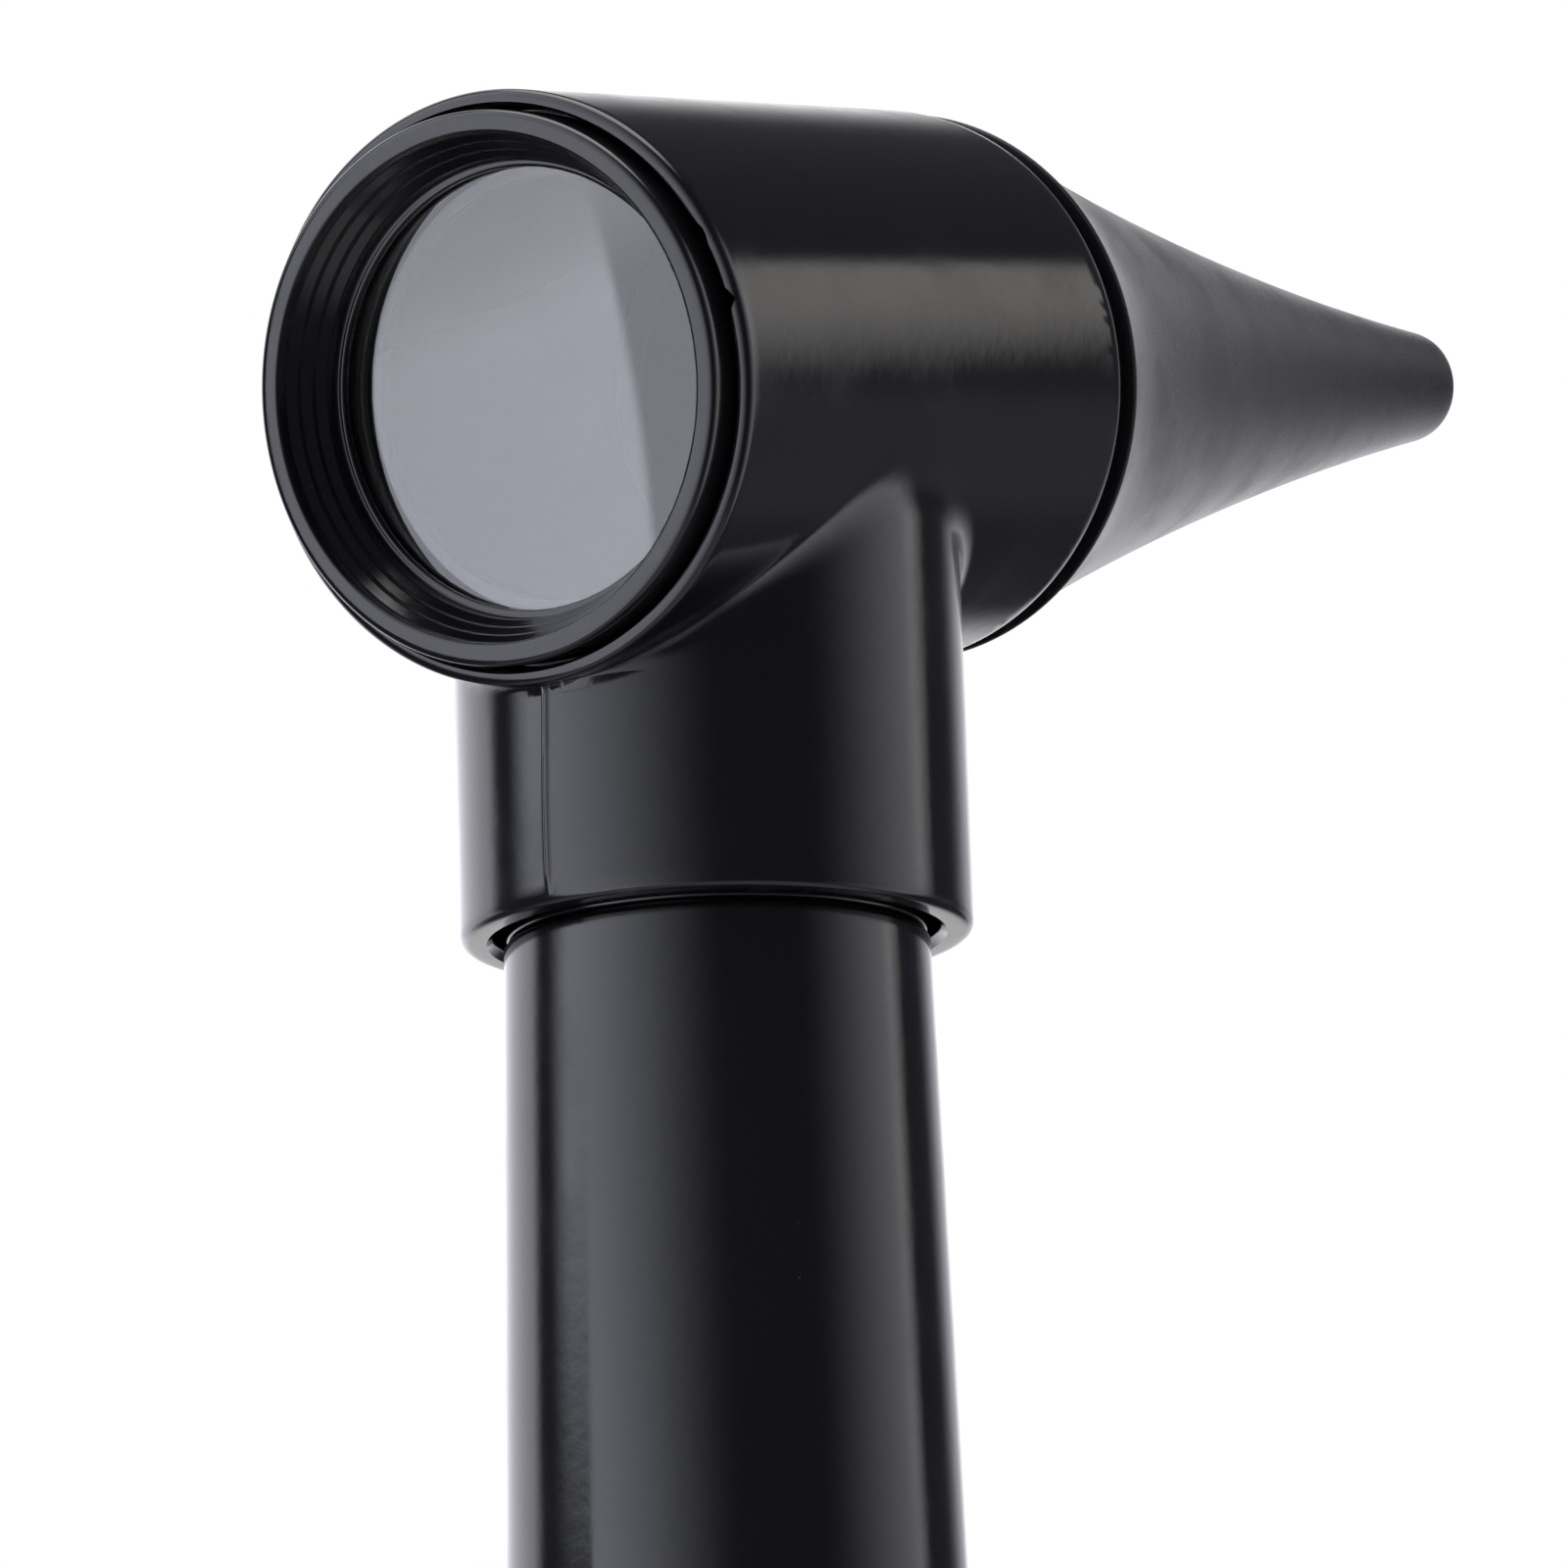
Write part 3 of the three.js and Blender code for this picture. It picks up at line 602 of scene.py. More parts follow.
def combine(made, tool, operation="DIFFERENCE"):
    modifier = made.modifiers.new("combine", "BOOLEAN")
    modifier.operation = operation
    modifier.object = tool
    modifier.solver = "EXACT"
    applyModifiers(made)
    bpy.data.objects.remove(tool)
    shadeSmooth(made.data)
    return made


# A closed sheet between two outlines of (y, z) points, as wide as asked across X.
def strap(name, outline, width, edge=0.0):
    rows = drawOutline(outline, True, None, 5)
    verts = [Vector((side * width / 2, y, z)) * mm for side in (-1, 1) for y, z in rows]
    count = len(rows)
    faces = [tuple(range(count)), tuple(reversed(range(count, 2 * count)))]
    faces += [(k, (k + 1) % count, count + (k + 1) % count, count + k) for k in range(count)]
    made = meshObject(name, verts, faces)
    return softened(made, edge) if edge else made


def block(name, size, middle, edge=0.0):
    verts = [Vector(middle) + Vector((x * size[0], y * size[1], z * size[2])) / 2
             for x in (-1, 1) for y in (-1, 1) for z in (-1, 1)]
    faces = [(0, 1, 3, 2), (4, 6, 7, 5), (0, 4, 5, 1), (2, 3, 7, 6), (0, 2, 6, 4), (1, 5, 7, 3)]
    made = meshObject(name, [v * mm for v in verts], faces)
    return softened(made, edge) if edge else made


def softened(made, edge, angle=35):
    bevel = made.modifiers.new("soft edges", "BEVEL")
    bevel.width = edge * mm
    bevel.segments = 3
    bevel.limit_method = "ANGLE"
    bevel.angle_limit = math.radians(angle)
    bevel.use_clamp_overlap = True
    applyModifiers(made)
    shadeSmooth(made.data)
    return made


# Large faces keep their own normals beside small roundings.
def steadyNormals(made):
    steady = made.modifiers.new("steady normals", "WEIGHTED_NORMAL")
    steady.weight = 80
    steady.keep_sharp = True
    return applyModifiers(made)


def fit(made, node, finish, steady=True):
    if steady:
        steadyNormals(made)
    made.data.materials.clear()
    made.data.materials.append(finishes[finish])
    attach(made, frame["nodes"][node]["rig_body"])
    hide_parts(node)
    return made


# The barrel and collar, in mm from where the two axes cross.
housing = {
    "barrel": 9.0, "rear": -10.9, "front": 11.5, "rearEdge": 0.32, "frontEdge": 1.2,
    "recess": 8.5, "recessEnd": -9.2, "pocket": 7.5, "pocketEnd": -6.5, "throat": 6.9,
    "throatEnd": 5.2, "bore": 7.2,
    "collar": 7.92, "mouth": -17.65, "collarBore": 6.88, "ceiling": -10.9, "guideHole": 2.6,
    "mouthEdge": 0.35, "topOfCollar": -2.0, "blend": 0.6,
    "seamX": -0.62, "seamHeight": 0.05, "seamWidth": 0.1,
    "nicks": ((-22.0, 2.4, 0.13), (-7.2, 1.6, 0.3), (-14.5, 6.5, 0.06)),
}


def eased(value):
    value = min(max(value, 0), 1)
    return value * value * (3 - 2 * value)


# How far outside the blended outer skin a point is, in mm from the crossing.
def skinDistance(p):
    h = housing
    v = p.y * sightUp.y + p.z * sightUp.z
    s = p.y * sightAxis.y + p.z * sightAxis.z
    toBarrel = math.hypot(p.x, v) - h["barrel"]
    above = max(0.0, p.z + 4.0)
    toCollar = math.hypot(p.x, p.y) - h["collar"] + above * above
    soft = max(h["blend"] * eased((s - h["rear"] - 0.6) / 1.2), 1e-4)
    share = min(max(0.5 + 0.5 * (toCollar - toBarrel) / soft, 0), 1)
    distance = toCollar + (toBarrel - toCollar) * share - soft * share * (1 - share)
    if p.y < 0 and p.z < 0:
        wander = 0.06 * math.sin(p.z * 0.55 + 0.6)
        off = (p.x - h["seamX"] - wander) / h["seamWidth"]
        distance -= h["seamHeight"] * math.exp(-off * off)
    return distance


def skinNormal(p):
    reach = 0.02
    slope = Vector([
        skinDistance(p + step) - skinDistance(p - step)
        for step in (Vector((reach, 0, 0)), Vector((0, reach, 0)), Vector((0, 0, reach)))])
    return slope.normalized()


def rimRadius(radius, height, angle):
    # Small moulding nicks round the mouth of the eyepiece seat.
    if height > housing["rear"] + 0.55:
        return radius
    degrees = math.degrees(math.atan2(math.sin(angle), math.cos(angle)))
    for middle, width, depth in housing["nicks"]:
        radius += depth * math.exp(-((degrees - middle) / width) ** 2)
    return radius


def makeHousing():
    h = housing
    halfSeam = (0.3, 0.6, 0.9, 1.2, 1.6, 2.2, 3)
    fineSeam = [math.radians(x) for x in (*[-x for x in reversed(halfSeam)], 0, *halfSeam)]

    def withSeam(middle, sides=224):
        seam = [middle + x for x in fineSeam]
        plain = [a for a in evenAngles(sides)
                 if abs(math.remainder(a - middle, 2 * math.pi)) > math.radians(3.4)]
        return sorted([a % (2 * math.pi) for a in plain + seam])

    collarSeam = -math.pi / 2 + math.asin(h["seamX"] / h["collar"])
    barrelSeam = math.pi / 2 - math.asin(h["seamX"] / h["barrel"])
    barrel = turnedOnSight("head_shell", [
        (0, h["rear"]), (h["barrel"], h["rear"], h["rearEdge"]),
        (h["barrel"], h["front"], h["frontEdge"]), (0, h["front"])],
        step=0.32, angles=withSeam(barrelSeam))
    upright = Matrix.Translation(crossing)
    collar = turned("collar", [
        (0, h["mouth"]), (h["collar"], h["mouth"], h["mouthEdge"]),
        (h["collar"], h["topOfCollar"]), (0, h["topOfCollar"])],
        place=upright, step=0.32, angles=withSeam(collarSeam))
    combine(barrel, collar, "UNION")

    for vertex in barrel.data.vertices:
        p = (vertex.co - crossing) / mm
        s = p.dot(sightAxis)
        radial = math.hypot(p.x, p.dot(sightUp))
        onBarrel = abs(radial - h["barrel"]) < 0.02 and h["rear"] + 0.36 < s < h["front"] - h["frontEdge"]
        onCollar = abs(math.hypot(p.x, p.y) - h["collar"]) < 0.02 and h["mouth"] + 0.4 < p.z < 0
        if not (onBarrel or onCollar):
            continue
        for _ in range(4):
            p = p - skinNormal(p) * skinDistance(p)
        vertex.co = crossing + p * mm

    sightBore = turnedOnSight("sight_bore", [
        (0, h["rear"] - 1), (h["recess"] + 1.0, h["rear"] - 1), (h["recess"] + 0.12, h["rear"] - 0.02),
        (h["recess"], h["rear"] + 0.15), (h["recess"], h["recessEnd"], 0.1),
        (h["pocket"], h["recessEnd"], 0.05), (h["pocket"], h["pocketEnd"]),
        (h["throat"], h["pocketEnd"], 0.1),
        (h["throat"], h["throatEnd"]), (h["bore"], h["throatEnd"]), (h["bore"], h["front"] - 0.1),
        (h["bore"] + 0.9, h["front"] + 1), (0, h["front"] + 1)], step=0.4, sides=256, shape=rimRadius)
    combine(barrel, sightBore)
    socket = turned("socket", [
        (0, h["mouth"] - 1), (h["collarBore"] + 1.2, h["mouth"] - 1), (h["collarBore"] + 0.22, h["mouth"]),
        (h["collarBore"], h["mouth"] + 0.25, 0.1), (h["collarBore"], h["ceiling"], 0.3),
        (h["guideHole"], h["ceiling"], 0.1), (h["guideHole"], h["topOfCollar"]), (0, h["topOfCollar"])],
        place=upright, step=0.6, sides=192)
    combine(barrel, socket)
    fit(barrel, "head_housing", "gloss")
    setSkinNormals(barrel.data)
    return barrel


# The outer skin takes its normals from the blend itself.
def setSkinNormals(mesh):
    h = housing
    onSkin = {}
    for vertex in mesh.vertices:
        p = (vertex.co - crossing) / mm
        s = p.dot(sightAxis)
        inLimits = h["rear"] + 0.4 < s < h["front"] - h["frontEdge"] and p.z > h["mouth"] + 0.45
        if inLimits and abs(skinDistance(p)) < 0.015:
            onSkin[vertex.index] = skinNormal(p)
    normals = [loop.vector.copy() for loop in mesh.corner_normals]
    for polygon in mesh.polygons:
        for k in polygon.loop_indices:
            wanted = onSkin.get(mesh.loops[k].vertex_index)
            if wanted is not None and wanted.dot(polygon.normal) > 0.4:
                normals[k] = wanted
    mesh.normals_split_custom_set(normals)


makeHousing()
print("head housing moulded")


# The eyepiece ring, stepped inwards to the lens behind it.
eyepiece = {
    "radius": 8.36, "front": -11.8, "rear": -9.4, "lip": 6.7, "lipDepth": 2.1,
    "stairRadius": 7.65, "ledge": 0.23, "stairDepth": 0.72, "stairWall": 0.45, "stairs": 3,
    "rounding": 0.06,
}


def makeEyepiece():
    e = eyepiece
    soft = e["rounding"]
    steps = []
    for i in range(e["stairs"]):
        depth = e["front"] + e["stairDepth"] + e["stairWall"] * i
        inner = e["stairRadius"] - e["ledge"] * i
        steps = [(inner - e["ledge"], depth, soft), (inner, depth - 0.3, 0.03)] + steps
    outline = [
        (e["stairRadius"] + 0.04, e["front"], 0.2), (e["radius"], e["front"], 0.25),
        (e["radius"], e["rear"], 0.15),
        (e["lip"], e["rear"], 0.1), (e["lip"], e["front"] + e["lipDepth"], 0.12),
        (e["stairRadius"] - e["ledge"] * e["stairs"], e["front"] + e["lipDepth"], 0.2), *steps,
        (e["stairRadius"], e["front"] + 0.2),
    ]
    ring = turnedOnSight("eyepiece_rim", outline, sides=224)
    fit(ring, "eyepiece_ring", "gloss")


lens = {"radius": 7.25, "edge": 1.2, "bulge": 0.28, "front": -9.3, "rows": 24, "chamfer": 0.08}
lensRings = {
    "gap": 0.1, "sealInner": 6.75, "sealOuter": 7.25, "sealThick": 0.35, "spacerAfter": 0.5,
    "spacerInner": 6.4, "spacerOuter": 7.3, "spacerThick": 0.5,
}


def makeLens():
    n = lens["rows"]
    rim = lens["radius"] - lens["chamfer"]
    dome = [(rim * i / n, lens["bulge"] * (1 - (i / n) ** 2)) for i in range(n + 1)]
    nearFace = [(0, lens["front"]), (rim, lens["front"])]
    farFace = [(r, lens["front"] + lens["edge"] + rise) for r, rise in reversed(dome)]
    bevel = [(lens["radius"], lens["front"] + lens["chamfer"]),
             (lens["radius"], lens["front"] + lens["edge"] - lens["chamfer"])]
    made = turnedOnSight("magnifier", nearFace + bevel + farFace, sides=192)
    fit(made, "magnifier_lens", "glass", steady=False)


def flatRing(name, inner, outer, low, thick, edge, sides=96):
    return turnedOnSight(name, [
        (inner, low, edge), (outer, low, edge), (outer, low + thick, edge), (inner, low + thick, edge)],
        sides=sides)


def makeLensRings():
    r = lensRings
    sealLow = lens["front"] + lens["edge"] + r["gap"]
    seal = flatRing("lens_seal", r["sealInner"], r["sealOuter"], sealLow, r["sealThick"], 0.1)
    fit(seal, "lens_gasket", "rubber")
    spacerLow = sealLow + r["spacerAfter"]
    spacer = flatRing("spacer_ring", r["spacerInner"], r["spacerOuter"], spacerLow, r["spacerThick"], 0.08)
    fit(spacer, "lens_spacer", "inner")


makeEyepiece()
makeLens()
makeLensRings()
print("eyepiece and lens set")


# The speculum narrows along a hollow curve, with a slight belly and a flare at its base.
cone = {
    "base": 11.8, "tip": 46.69, "wall": 0.8, "tipWall": 0.4, "rows": 56, "tipRounding": 0.32,
    "start": 8.6, "fall": 9.35, "hollow": 2.745, "belly": 0.1, "flare": 0.36, "flareReach": 0.045,
}


def coneRadius(height):
    along = (height - cone["base"]) / (cone["tip"] - cone["base"])
    curve = cone["start"] - cone["fall"] * along + cone["hollow"] * along ** 2
    belly = cone["belly"] * math.sin(math.pi * along)
    return curve + belly + cone["flare"] * math.exp(-along / cone["flareReach"])


def makeSpeculum():
    c = cone
    rim = c["tip"] - c["tipRounding"]
    heights = [c["base"] + 0.25 + (rim - c["base"] - 0.25) * i / c["rows"] for i in range(c["rows"] + 1)]
    outer = [(coneRadius(z), z) for z in heights]
    wallAt = [c["wall"] + (c["tipWall"] - c["wall"]) * i / c["rows"] for i in range(c["rows"] + 1)]
    inner = [(coneRadius(z) - wall, z) for z, wall in zip(heights, wallAt)][::-1]
    tip = coneRadius(c["tip"])
    outline = [
        (coneRadius(c["base"]) - c["wall"], c["base"], 0.1),
        (coneRadius(c["base"]) - 0.03, c["base"], 0.18), *outer,
        (tip - 0.02, c["tip"], 0.24), (tip - c["tipWall"], c["tip"], 0.12), *inner]
    made = turnedOnSight("ear_tip", outline, sides=176)
    fit(made, "speculum", "satin")


def makeNose():
    seat = housing["front"] + 0.15
    made = turnedOnSight("cone_seat", [
        (6.2, 5.5, 0.1), (7, 5.5, 0.15), (7, seat), (7.5, seat, 0.1), (7.5, seat + 0.5, 0.15),
        (6.85, 12.5, 0.2), (4.35, 24, 0.35), (3.85, 24, 0.1), (6.2, 12.5)], sides=112, step=1.5)
    fit(made, "speculum_nose", "inner")


# The guide's route is the frame's own: up from the lamp, then along under the line of sight.
guideRoute = [(0, 0, -10), (0, 0, -7.8), (0, 1, -6)]
guideAlongSight = [(3.4, 5.4), (8, 5.1), (12, 4.75), (23.4, 2.75)]


# Centripetal smoothing through the route's points.
def smoothRoute(points, pieces=12):
    points = [Vector(p) for p in points]
    padded = [points[0] * 2 - points[1], *points, points[-1] * 2 - points[-2]]
    made = []
    for a, b, c, d in zip(padded, padded[1:], padded[2:], padded[3:]):
        ab, bc, cd = ((q - p).length ** 0.5 for p, q in ((a, b), (b, c), (c, d)))
        leave = (b - a) / ab - (c - a) / (ab + bc) + (c - b) / bc
        arrive = (c - b) / bc - (d - b) / (bc + cd) + (d - c) / cd
        leave *= bc
        arrive *= bc
        for k in range(pieces):
            t = k / pieces
            made.append(b * (2 * t ** 3 - 3 * t ** 2 + 1) + leave * (t ** 3 - 2 * t ** 2 + t)
                        + c * (3 * t ** 2 - 2 * t ** 3) + arrive * (t ** 3 - t ** 2))
    return made + [points[-1]]


def makeLightGuide():
    lift = Vector((0, 0, crossingZ))
    route = [Vector(p) + lift for p in guideRoute]
    route += [sightAxis * along - sightUp * below + lift for along, below in guideAlongSight]
    made = swept("light_pipe", smoothRoute(route), 0.89, 28)
    fit(made, "light_guide", "acrylic", steady=False)


def makeGuideHolder():
    low, high, radius = span("light_guide_holder")
    made = turned("light_pipe_seat", [
        (1.85, low, 0.1), (radius, low, 0.15), (radius, low + 0.6, 0.15), (2.45, low + 0.6, 0.1),
        (2.45, high, 0.15), (1.2, high, 0.1), (1.2, low + 1.6), (1.85, low + 1.4)], sides=80)
    fit(made, "light_guide_holder", "inner")


makeSpeculum()
makeNose()
makeLightGuide()
makeGuideHolder()
print("speculum, seat and light pipe done")


# The handle tube, in mm from the base.
handle = {
    "edge": 0.35, "coneStart": 76, "bore": 5.7, "shoulder": 106, "lampBore": 5.3,
    "thread": 6.45, "threadTop": 18.4, "neckSeat": 6.1, "neckStart": 113.9,
    "grooveWidth": 3.4, "grooveDepth": 6.2, "grooveTop": 112.5, "mouthRadius": 6.57,
}
studZ = sum(span("switch_stud")[:2]) / 2
screwZ = sum(span("clip_screw")[:2]) / 2


def outwardPlace(z):                    # turns a piece's height to run out of the handle, towards the clip
    return Matrix.Translation((0, 0, z * mm)) @ Matrix.Rotation(math.pi / 2, 4, "X")


def makeHandle():
    h = handle
    low, high, radius = span("handle_tube")
    tube = turned("handle_shell", [
        (0, low), (radius, low, h["edge"]), (radius, h["coneStart"], 6.0), (h["mouthRadius"], high, 0.2),
        (0, high)], sides=256, step=3)
    taper = h["thread"] - h["bore"]
    bore = turned("handle_bore", [
        (0, low - 1), (h["thread"] + 1.1, low - 1), (h["thread"], low + 0.15), (h["thread"], h["threadTop"]),
        (h["bore"], h["threadTop"] + taper), (h["bore"], h["shoulder"]),
        (h["lampBore"], h["shoulder"]),
        (h["lampBore"], h["neckStart"]), (h["neckSeat"], h["neckStart"]), (h["neckSeat"], high + 1),
        (0, high + 1)], sides=128)
    combine(tube, bore)
    grooveLow = low + 1
    groove = block("strip_groove", (h["grooveWidth"], h["grooveDepth"], h["grooveTop"] - grooveLow),
                   (0, -h["grooveDepth"] / 2, (h["grooveTop"] + grooveLow) / 2))
    combine(tube, groove)
    for holeRadius, z in ((1.05, studZ), (1.0, screwZ)):
        hole = turned("side_hole", [(0, 5), (holeRadius, 5), (holeRadius, 9), (0, 9)],
                      place=outwardPlace(z), sides=48)
        combine(tube, hole)
    fit(tube, "handle_tube", "gloss")


def makeNeck():
    low, high, radius = span("neck_sleeve")
    step = housing["mouth"] + crossingZ
    sealLow, sealHigh, sealRadius = span("neck_oring")
    middle = (sealLow + sealHigh) / 2
    groove = 5.9
    made = turned("neck_tube", [
        (5.3, low, 0.1), (6, low, 0.2), (6, step), (radius, step, 0.12), (radius, middle - 0.7, 0.08),
        (groove, middle - 0.7, 0.05), (groove, middle + 0.7, 0.05), (radius, middle + 0.7, 0.08),
        (radius, high, 0.45), (5.3, high, 0.15)], sides=176)
    fit(made, "neck_sleeve", "gloss")
    makeSeal("neck_seal_ring", "neck_oring", (sealHigh - sealLow) / 2, (sealHigh - sealLow) / 2)


def makeSeal(name, node, halfWidth, halfHeight):
    low, high, radius = span(node)
    centre = radius - halfWidth
    middle = (low + high) / 2
    section = [(centre + halfWidth * math.cos(a), middle + halfHeight * math.sin(a))
               for a in evenAngles(20)]
    fit(turned(name, section, sides=144), node, "rubber", steady=False)


makeHandle()
makeNeck()
print("handle shell and neck done")


tail = {
    "core": 7.25, "face": 6.55, "fluteLow": 2.0, "fluteHigh": 10.0, "height": 12.0, "flutes": 18,
    "fluteDepth": 0.35, "spigot": 6.25, "spigotTop": 18.0, "hollow": 5.75, "floor": 2.6,
}


def makeTailCap():
    t = tail
    low, high, radius = span("tail_cap")

    def fluted(reach, height, angle):
        if reach <= t["core"] or not t["fluteLow"] - 0.01 <= height <= t["fluteHigh"] + 0.01:
            return reach
        ends = eased((height - t["fluteLow"]) / 0.5) * eased((t["fluteHigh"] - height) / 0.5)
        return reach - t["fluteDepth"] * (0.5 + 0.5 * math.cos(angle * t["flutes"])) * ends

    made = turned("tail_grip", [
        (0, low), (t["face"] - 1.6, low), (t["face"], low, 0.2), (t["core"], low + 0.7, 0.2),
        (t["core"], t["fluteLow"]), (radius, t["fluteLow"], 0.25), (radius, t["fluteHigh"]),
        (radius, t["height"], 0.25), (t["spigot"], t["height"]), (t["spigot"], t["height"] + 0.4, 0.05),
        (t["spigot"] - 0.3, t["height"] + 0.4), (t["spigot"] - 0.3, t["height"] + 1.4),
        (t["spigot"], t["height"] + 1.4, 0.05), (t["spigot"], t["spigotTop"], 0.4),
        (t["hollow"], t["spigotTop"], 0.1), (t["hollow"], t["floor"], 0.3), (0, t["floor"])],
        sides=288, step=0.5, shape=fluted)
    fit(made, "tail_cap", "gloss")
    makeSeal("tail_seal_ring", "tail_oring", 0.22, 0.4)


def makeTailContact():
    low, high, radius = span("tail_contact")
    wall = 0.24
    made = turned("contact_cup", [
        (0, low), (radius, low, 0.3), (radius, high, 0.08), (radius - wall, high, 0.08),
        (radius - wall, low + wall, 0.2), (0, low + wall)], sides=112)
    fit(made, "tail_contact", "brass")


# Points of a coil, with its first and last turns closing down flat.
def coilPoints(low, high, lowRadius, highRadius, turns, pieces=28, closed=0.75):
    made = []
    count = int(turns * pieces)
    free = turns - 2 * closed
    for i in range(count + 1):
        turn = turns * i / count
        first = min(turn, closed)
        inner = min(max(turn - closed, 0), free) / free
        last = min(max(turn - turns + closed, 0), closed)
        along = 0.06 * first / closed + 0.88 * inner + 0.06 * last / closed
        radius = lowRadius + (highRadius - lowRadius) * turn / turns
        angle = turn * 2 * math.pi
        height = low + (high - low) * along
        made.append(Vector((radius * math.cos(angle), radius * math.sin(angle), height)))
    return made


def makeTailSpring():
    low, high, radius = span("tail_spring")
    wire = 0.38
    points = coilPoints(low + wire, high - wire, radius - wire, 2.5, 4.5)
    fit(swept("tail_coil", points, wire, 14), "tail_spring", "wire", steady=False)


def makeBatteries():
    nubRadius = 1.9
    nub = 0.8
    for node, name in (("battery_rear", "cell_rear"), ("battery_front", "cell_front")):
        low, high, radius = span(node)
        top = high - nub
        made = turned(name, [
            (0, low), (3.9, low), (4.0, low + 0.12), (radius - 0.45, low + 0.12),
            (radius - 0.35, low, 0.06), (radius, low + 0.35, 0.15), (radius, top - 0.3, 0.2),
            (radius - 0.5, top, 0.12), (radius - 0.75, top - 0.12), (2.6, top - 0.12, 0.1),
            (nubRadius, top, 0.1), (nubRadius, high, 0.25), (0, high)], sides=112)
        fit(made, node, "jacket")
        made.data.materials.append(finishes["aluminium"])
        for polygon in made.data.polygons:
            reach = math.hypot(polygon.center.x, polygon.center.y) / mm
            if reach < radius - 0.55:
                polygon.material_index = 1


makeTailCap()
makeTailContact()
makeTailSpring()
makeBatteries()
print("tail and batteries done")


def makeLamp():
    low, high, radius = span("lamp_holder")
    fit(turned("lamp_body", [
        (1, low, 0.1), (4.4, low, 0.15), (4.4, low + 6.2), (radius, low + 6.2, 0.1), (radius, high, 0.15),
        (3.4, high, 0.15), (3.4, low + 3.2, 0.2), (1, low + 3.2, 0.1)], sides=96),
        "lamp_holder", "white")

    low, high, radius = span("lamp_ring")
    fit(turned("lamp_shell_ring", [
        (radius - 0.6, low, 0.1), (radius, low, 0.15), (radius, high, 0.15), (radius - 0.6, high, 0.1)],
        sides=112), "lamp_ring", "brass")

    low, high, radius = span("lamp_pin")
    flangeTop = 105.4
    seat = high - 0.6
    fit(turned("lamp_plunger", [
        (0, low), (1.2, low, 0.3), (radius, low + 0.5, 0.1), (radius, flangeTop, 0.1),
        (0.85, flangeTop, 0.05), (0.85, seat), (1.3, seat, 0.08), (1.3, high, 0.15), (0, high)], sides=64),
        "lamp_pin", "brass")

    low, high, radius = span("lamp_spring")
    wire = 0.24
    spring = swept("lamp_coil", coilPoints(low + wire, high - wire, 2.2, 2.2, 6), wire, 12)
    fit(spring, "lamp_spring", "wire", steady=False)
    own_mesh(spring)

    low, high, radius = span("lamp_board")
    fit(turned("lamp_disc", [(0, low), (radius, low, 0.08), (radius, high, 0.08), (0, high)], sides=96),
        "lamp_board", "aluminium")

    low, high, radius = span("lamp_bezel")
    fit(turned("lamp_collar", [
        (1.75, low, 0.05), (radius, low, 0.06), (radius, high, 0.2), (2.3, high, 0.1),
        (1.75, high - 0.25, 0.1)],
        sides=112), "lamp_bezel", "aluminium")

    low, high, radius = span("lamp_dome")
    rise = 0.9 * radius
    rows = 14
    dome = [(radius * math.cos(a), high - rise + rise * math.sin(a))
            for a in (math.pi / 2 * i / rows for i in range(rows))]
    fit(turned("lamp_bulb", [(0, low), (radius, low, 0.1), *dome, (0, high)], sides=72),
        "lamp_dome", "dome", steady=False)


makeLamp()
print("lamp done")


clip = {
    "pivotY": -9.5, "pivotZ": 95, "eye": 1.15, "width": 4.2, "thickness": 0.7, "footGap": 0.8,
    "pin": 0.5, "studHeight": 0.8, "tube": 7.5, "edge": 0.12,
}


def crossRod(name, radius, length, y, z, sides=48, rounding=0.0):
    place = Matrix.Translation((0, y * mm, z * mm)) @ Matrix.Rotation(math.pi / 2, 4, "Y")
    return turned(name, [(0, -length / 2), (radius, -length / 2, rounding), (radius, length / 2, rounding),
                         (0, length / 2)], place=place, sides=sides)


def makeClipLever():
    c = clip
    t = c["thickness"]
    back = c["pivotY"] - t / 2
    front = back + t
    foot = -(c["tube"] + c["studHeight"]) - c["footGap"]
    z = studZ
    blade = strap("clip_spring_arm", [
        (front, c["pivotZ"]), (front, z + 9, 3), (foot, z + 1.2, 0.8), (foot, z - 1.2, 0.8),
        (front - 0.3, z - 5, 1.5), (back - 0.6, z - 8.5, 0.2), (back - 0.6 - t, z - 8.2, 0.3),
        (back - 0.1, z - 4.6, 2), (foot - t, z - 1.4, 1),
        (foot - t, z + 1.4, 1), (back, z + 9.4, 3), (back, c["pivotZ"])], c["width"])
    combine(blade, crossRod("eye", c["eye"], c["width"], c["pivotY"], c["pivotZ"], 64), "UNION")
    combine(blade, crossRod("eye_hole", c["pin"] + 0.12, 2 * c["width"], c["pivotY"], c["pivotZ"]))
    softened(blade, c["edge"], 60)
    fit(blade, "pocket_clip", "nickel")


saddle = {
    "low": 86.5, "high": 97.5, "inner": 7.35, "outer": 8.0, "halfAngle": 0.62, "earX": 2.6, "ear": 0.6,
}


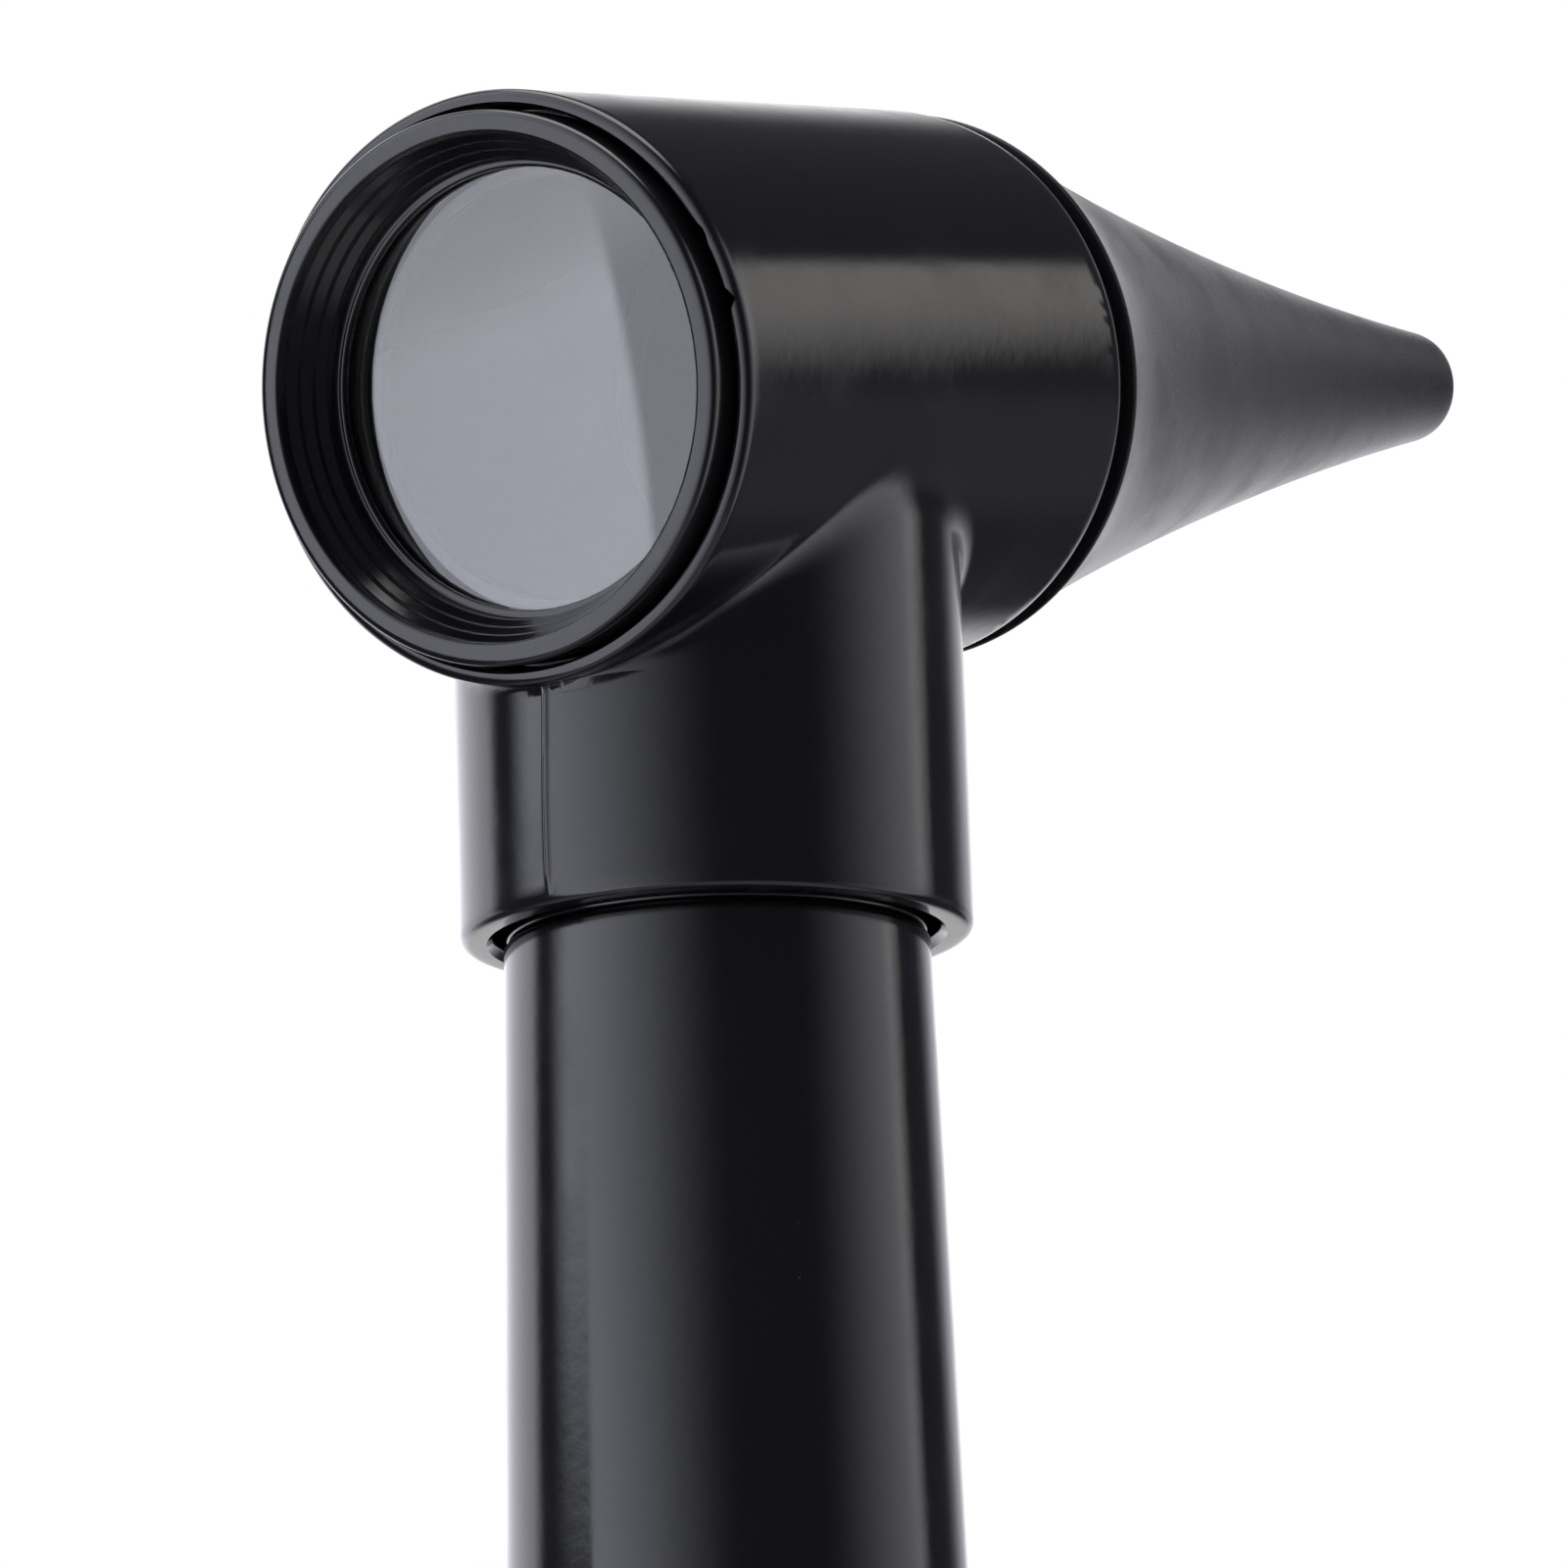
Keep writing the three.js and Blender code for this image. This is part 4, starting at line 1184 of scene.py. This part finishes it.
def makeClipSaddle():
    s = saddle
    count = 36
    verts = []
    faces = []
    for radius in (s["inner"], s["outer"]):
        for z in (s["low"], s["high"]):
            for i in range(count + 1):
                angle = -math.pi / 2 + s["halfAngle"] * (2 * i / count - 1)
                verts.append(Vector((radius * math.cos(angle), radius * math.sin(angle), z)) * mm)
    n = count + 1
    for i in range(count):
        faces += [(i, i + 1, n + i + 1, n + i), (2 * n + i, 3 * n + i, 3 * n + i + 1, 2 * n + i + 1),
                  (i, 2 * n + i, 2 * n + i + 1, i + 1), (n + i, n + i + 1, 3 * n + i + 1, 3 * n + i)]
    for i in (0, count):
        faces.append((i, n + i, 3 * n + i, 2 * n + i))
    plate = meshObject("clip_mount", verts, faces)
    earBack = clip["pivotY"] - 1.2
    earFront = -s["inner"] + 0.35
    for side in (-1, 1):
        ear = strap("ear", [
            (earBack, clip["pivotZ"] - 1.6, 1.1), (earFront, clip["pivotZ"] - 1.6),
            (earFront, clip["pivotZ"] + 1.6), (earBack, clip["pivotZ"] + 1.6, 1.1)], s["ear"])
        ear.data.transform(Matrix.Translation((side * (s["earX"] + s["ear"] / 2) * mm, 0, 0)))
        combine(plate, ear, "UNION")
    combine(plate, crossRod("pin_hole", clip["pin"] + 0.05, 12, clip["pivotY"], clip["pivotZ"]))
    hole = turned("screw_hole", [(0, 6), (1, 6), (1, 10), (0, 10)], place=outwardPlace(screwZ), sides=48)
    combine(plate, hole)
    softened(plate, 0.1, 50)
    fit(plate, "clip_saddle", "nickel")


def makeFasteners():
    seat = saddle["outer"] + 0.1
    screw = turned("mount_screw", [
        (0, 6.1), (0.8, 6.1, 0.15), (0.8, seat), (1.5, seat, 0.06), (1.5, seat + 0.32, 0.12),
        (0.9, seat + 0.65, 0.3), (0, seat + 0.65)], place=outwardPlace(screwZ), sides=64)
    for turn in (0, math.pi / 2):
        slotCut = block("slot", (1.7, 0.7, 0.34), (0, 0, 0))
        slotCut.data.transform(outwardPlace(screwZ) @ Matrix.Translation((0, 0, (seat + 0.6) * mm))
                               @ Matrix.Rotation(turn + 0.4, 4, "Z") @ Matrix.Rotation(math.pi / 2, 4, "X"))
        combine(screw, slotCut)
    fit(screw, "clip_screw", "nickel")

    pin = crossRod("hinge_pin", clip["pin"], 7, clip["pivotY"], clip["pivotZ"], 40, 0.15)
    fit(pin, "clip_pin", "nickel")

    top = clip["tube"] + clip["studHeight"]
    rest = clip["tube"] + 0.1
    stud = turned("switch_button", [
        (0, 6.1), (0.9, 6.1, 0.1), (0.9, rest), (1.5, rest, 0.08), (1.5, rest + 0.3, 0.15),
        (0.9, top, 0.4), (0, top)],
        place=outwardPlace(studZ), sides=64)
    fit(stud, "switch_stud", "brass")


def makeClipCoil():
    low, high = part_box("clip_spring")
    middleZ = (low.z + high.z) / 2 / mm
    wire = 0.21
    near = -high.y / mm
    far = -low.y / mm
    points = coilPoints(near + wire, far - wire, 1.28, 1.28, 2.5, 32, 0.5)
    place = Matrix.Translation((0, 0, middleZ)) @ Matrix.Rotation(math.pi / 2, 4, "X")
    coil = swept("clip_coil", [place @ p for p in points], wire, 12)
    fit(coil, "clip_spring", "wire", steady=False)
    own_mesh(coil)


def paintStrips():
    for node in ("strip_lower", "strip_upper"):
        made = frame["nodes"][node]
        made.data.materials.clear()
        made.data.materials.append(finishes["strip"])


makeClipLever()
makeClipSaddle()
makeFasteners()
makeClipCoil()
paintStrips()
print("clip, switch and strips done")


def makeFloor():
    rings = 24
    sides = 96
    reach = 1.1                         # metres
    verts = [Vector((0, 0, 0))]
    faces = []
    for i in range(1, rings + 1):
        radius = reach * i / rings
        verts += [Vector((radius * math.cos(a), radius * math.sin(a), 0)) for a in evenAngles(sides)]
    for i in range(rings):
        for k in range(sides):
            n = (k + 1) % sides
            if i == 0:
                faces.append((0, 1 + k, 1 + n))
            else:
                low = 1 + (i - 1) * sides
                high = low + sides
                faces.append((low + k, high + k, high + n, low + n))
    floor = meshObject("studio_floor", verts, faces)
    floor.data.transform(Matrix.Translation((0, 0, cadBounds[0].z - 0.00005)))
    floor.visible_glossy = False
    material, tree, surface = newMaterial("pale floor", (0.86, 0.86, 0.85), 0.7)
    place = addNode(tree, "ShaderNodeTexCoord").outputs["Object"]
    far = addNode(tree, "ShaderNodeVectorMath", {0: place}, operation="LENGTH").outputs["Value"]
    tree.links.new(smoothBetween(tree, far, 1.05, 0.45), surface["Alpha"])
    grain = noiseAt(tree, place, 60, 4.0)
    tree.links.new(blendColor(tree, grain, (0.84, 0.84, 0.83), (0.88, 0.88, 0.87)), surface["Base Color"])
    floor.data.materials.append(material)


makeFloor()
print("floor laid")
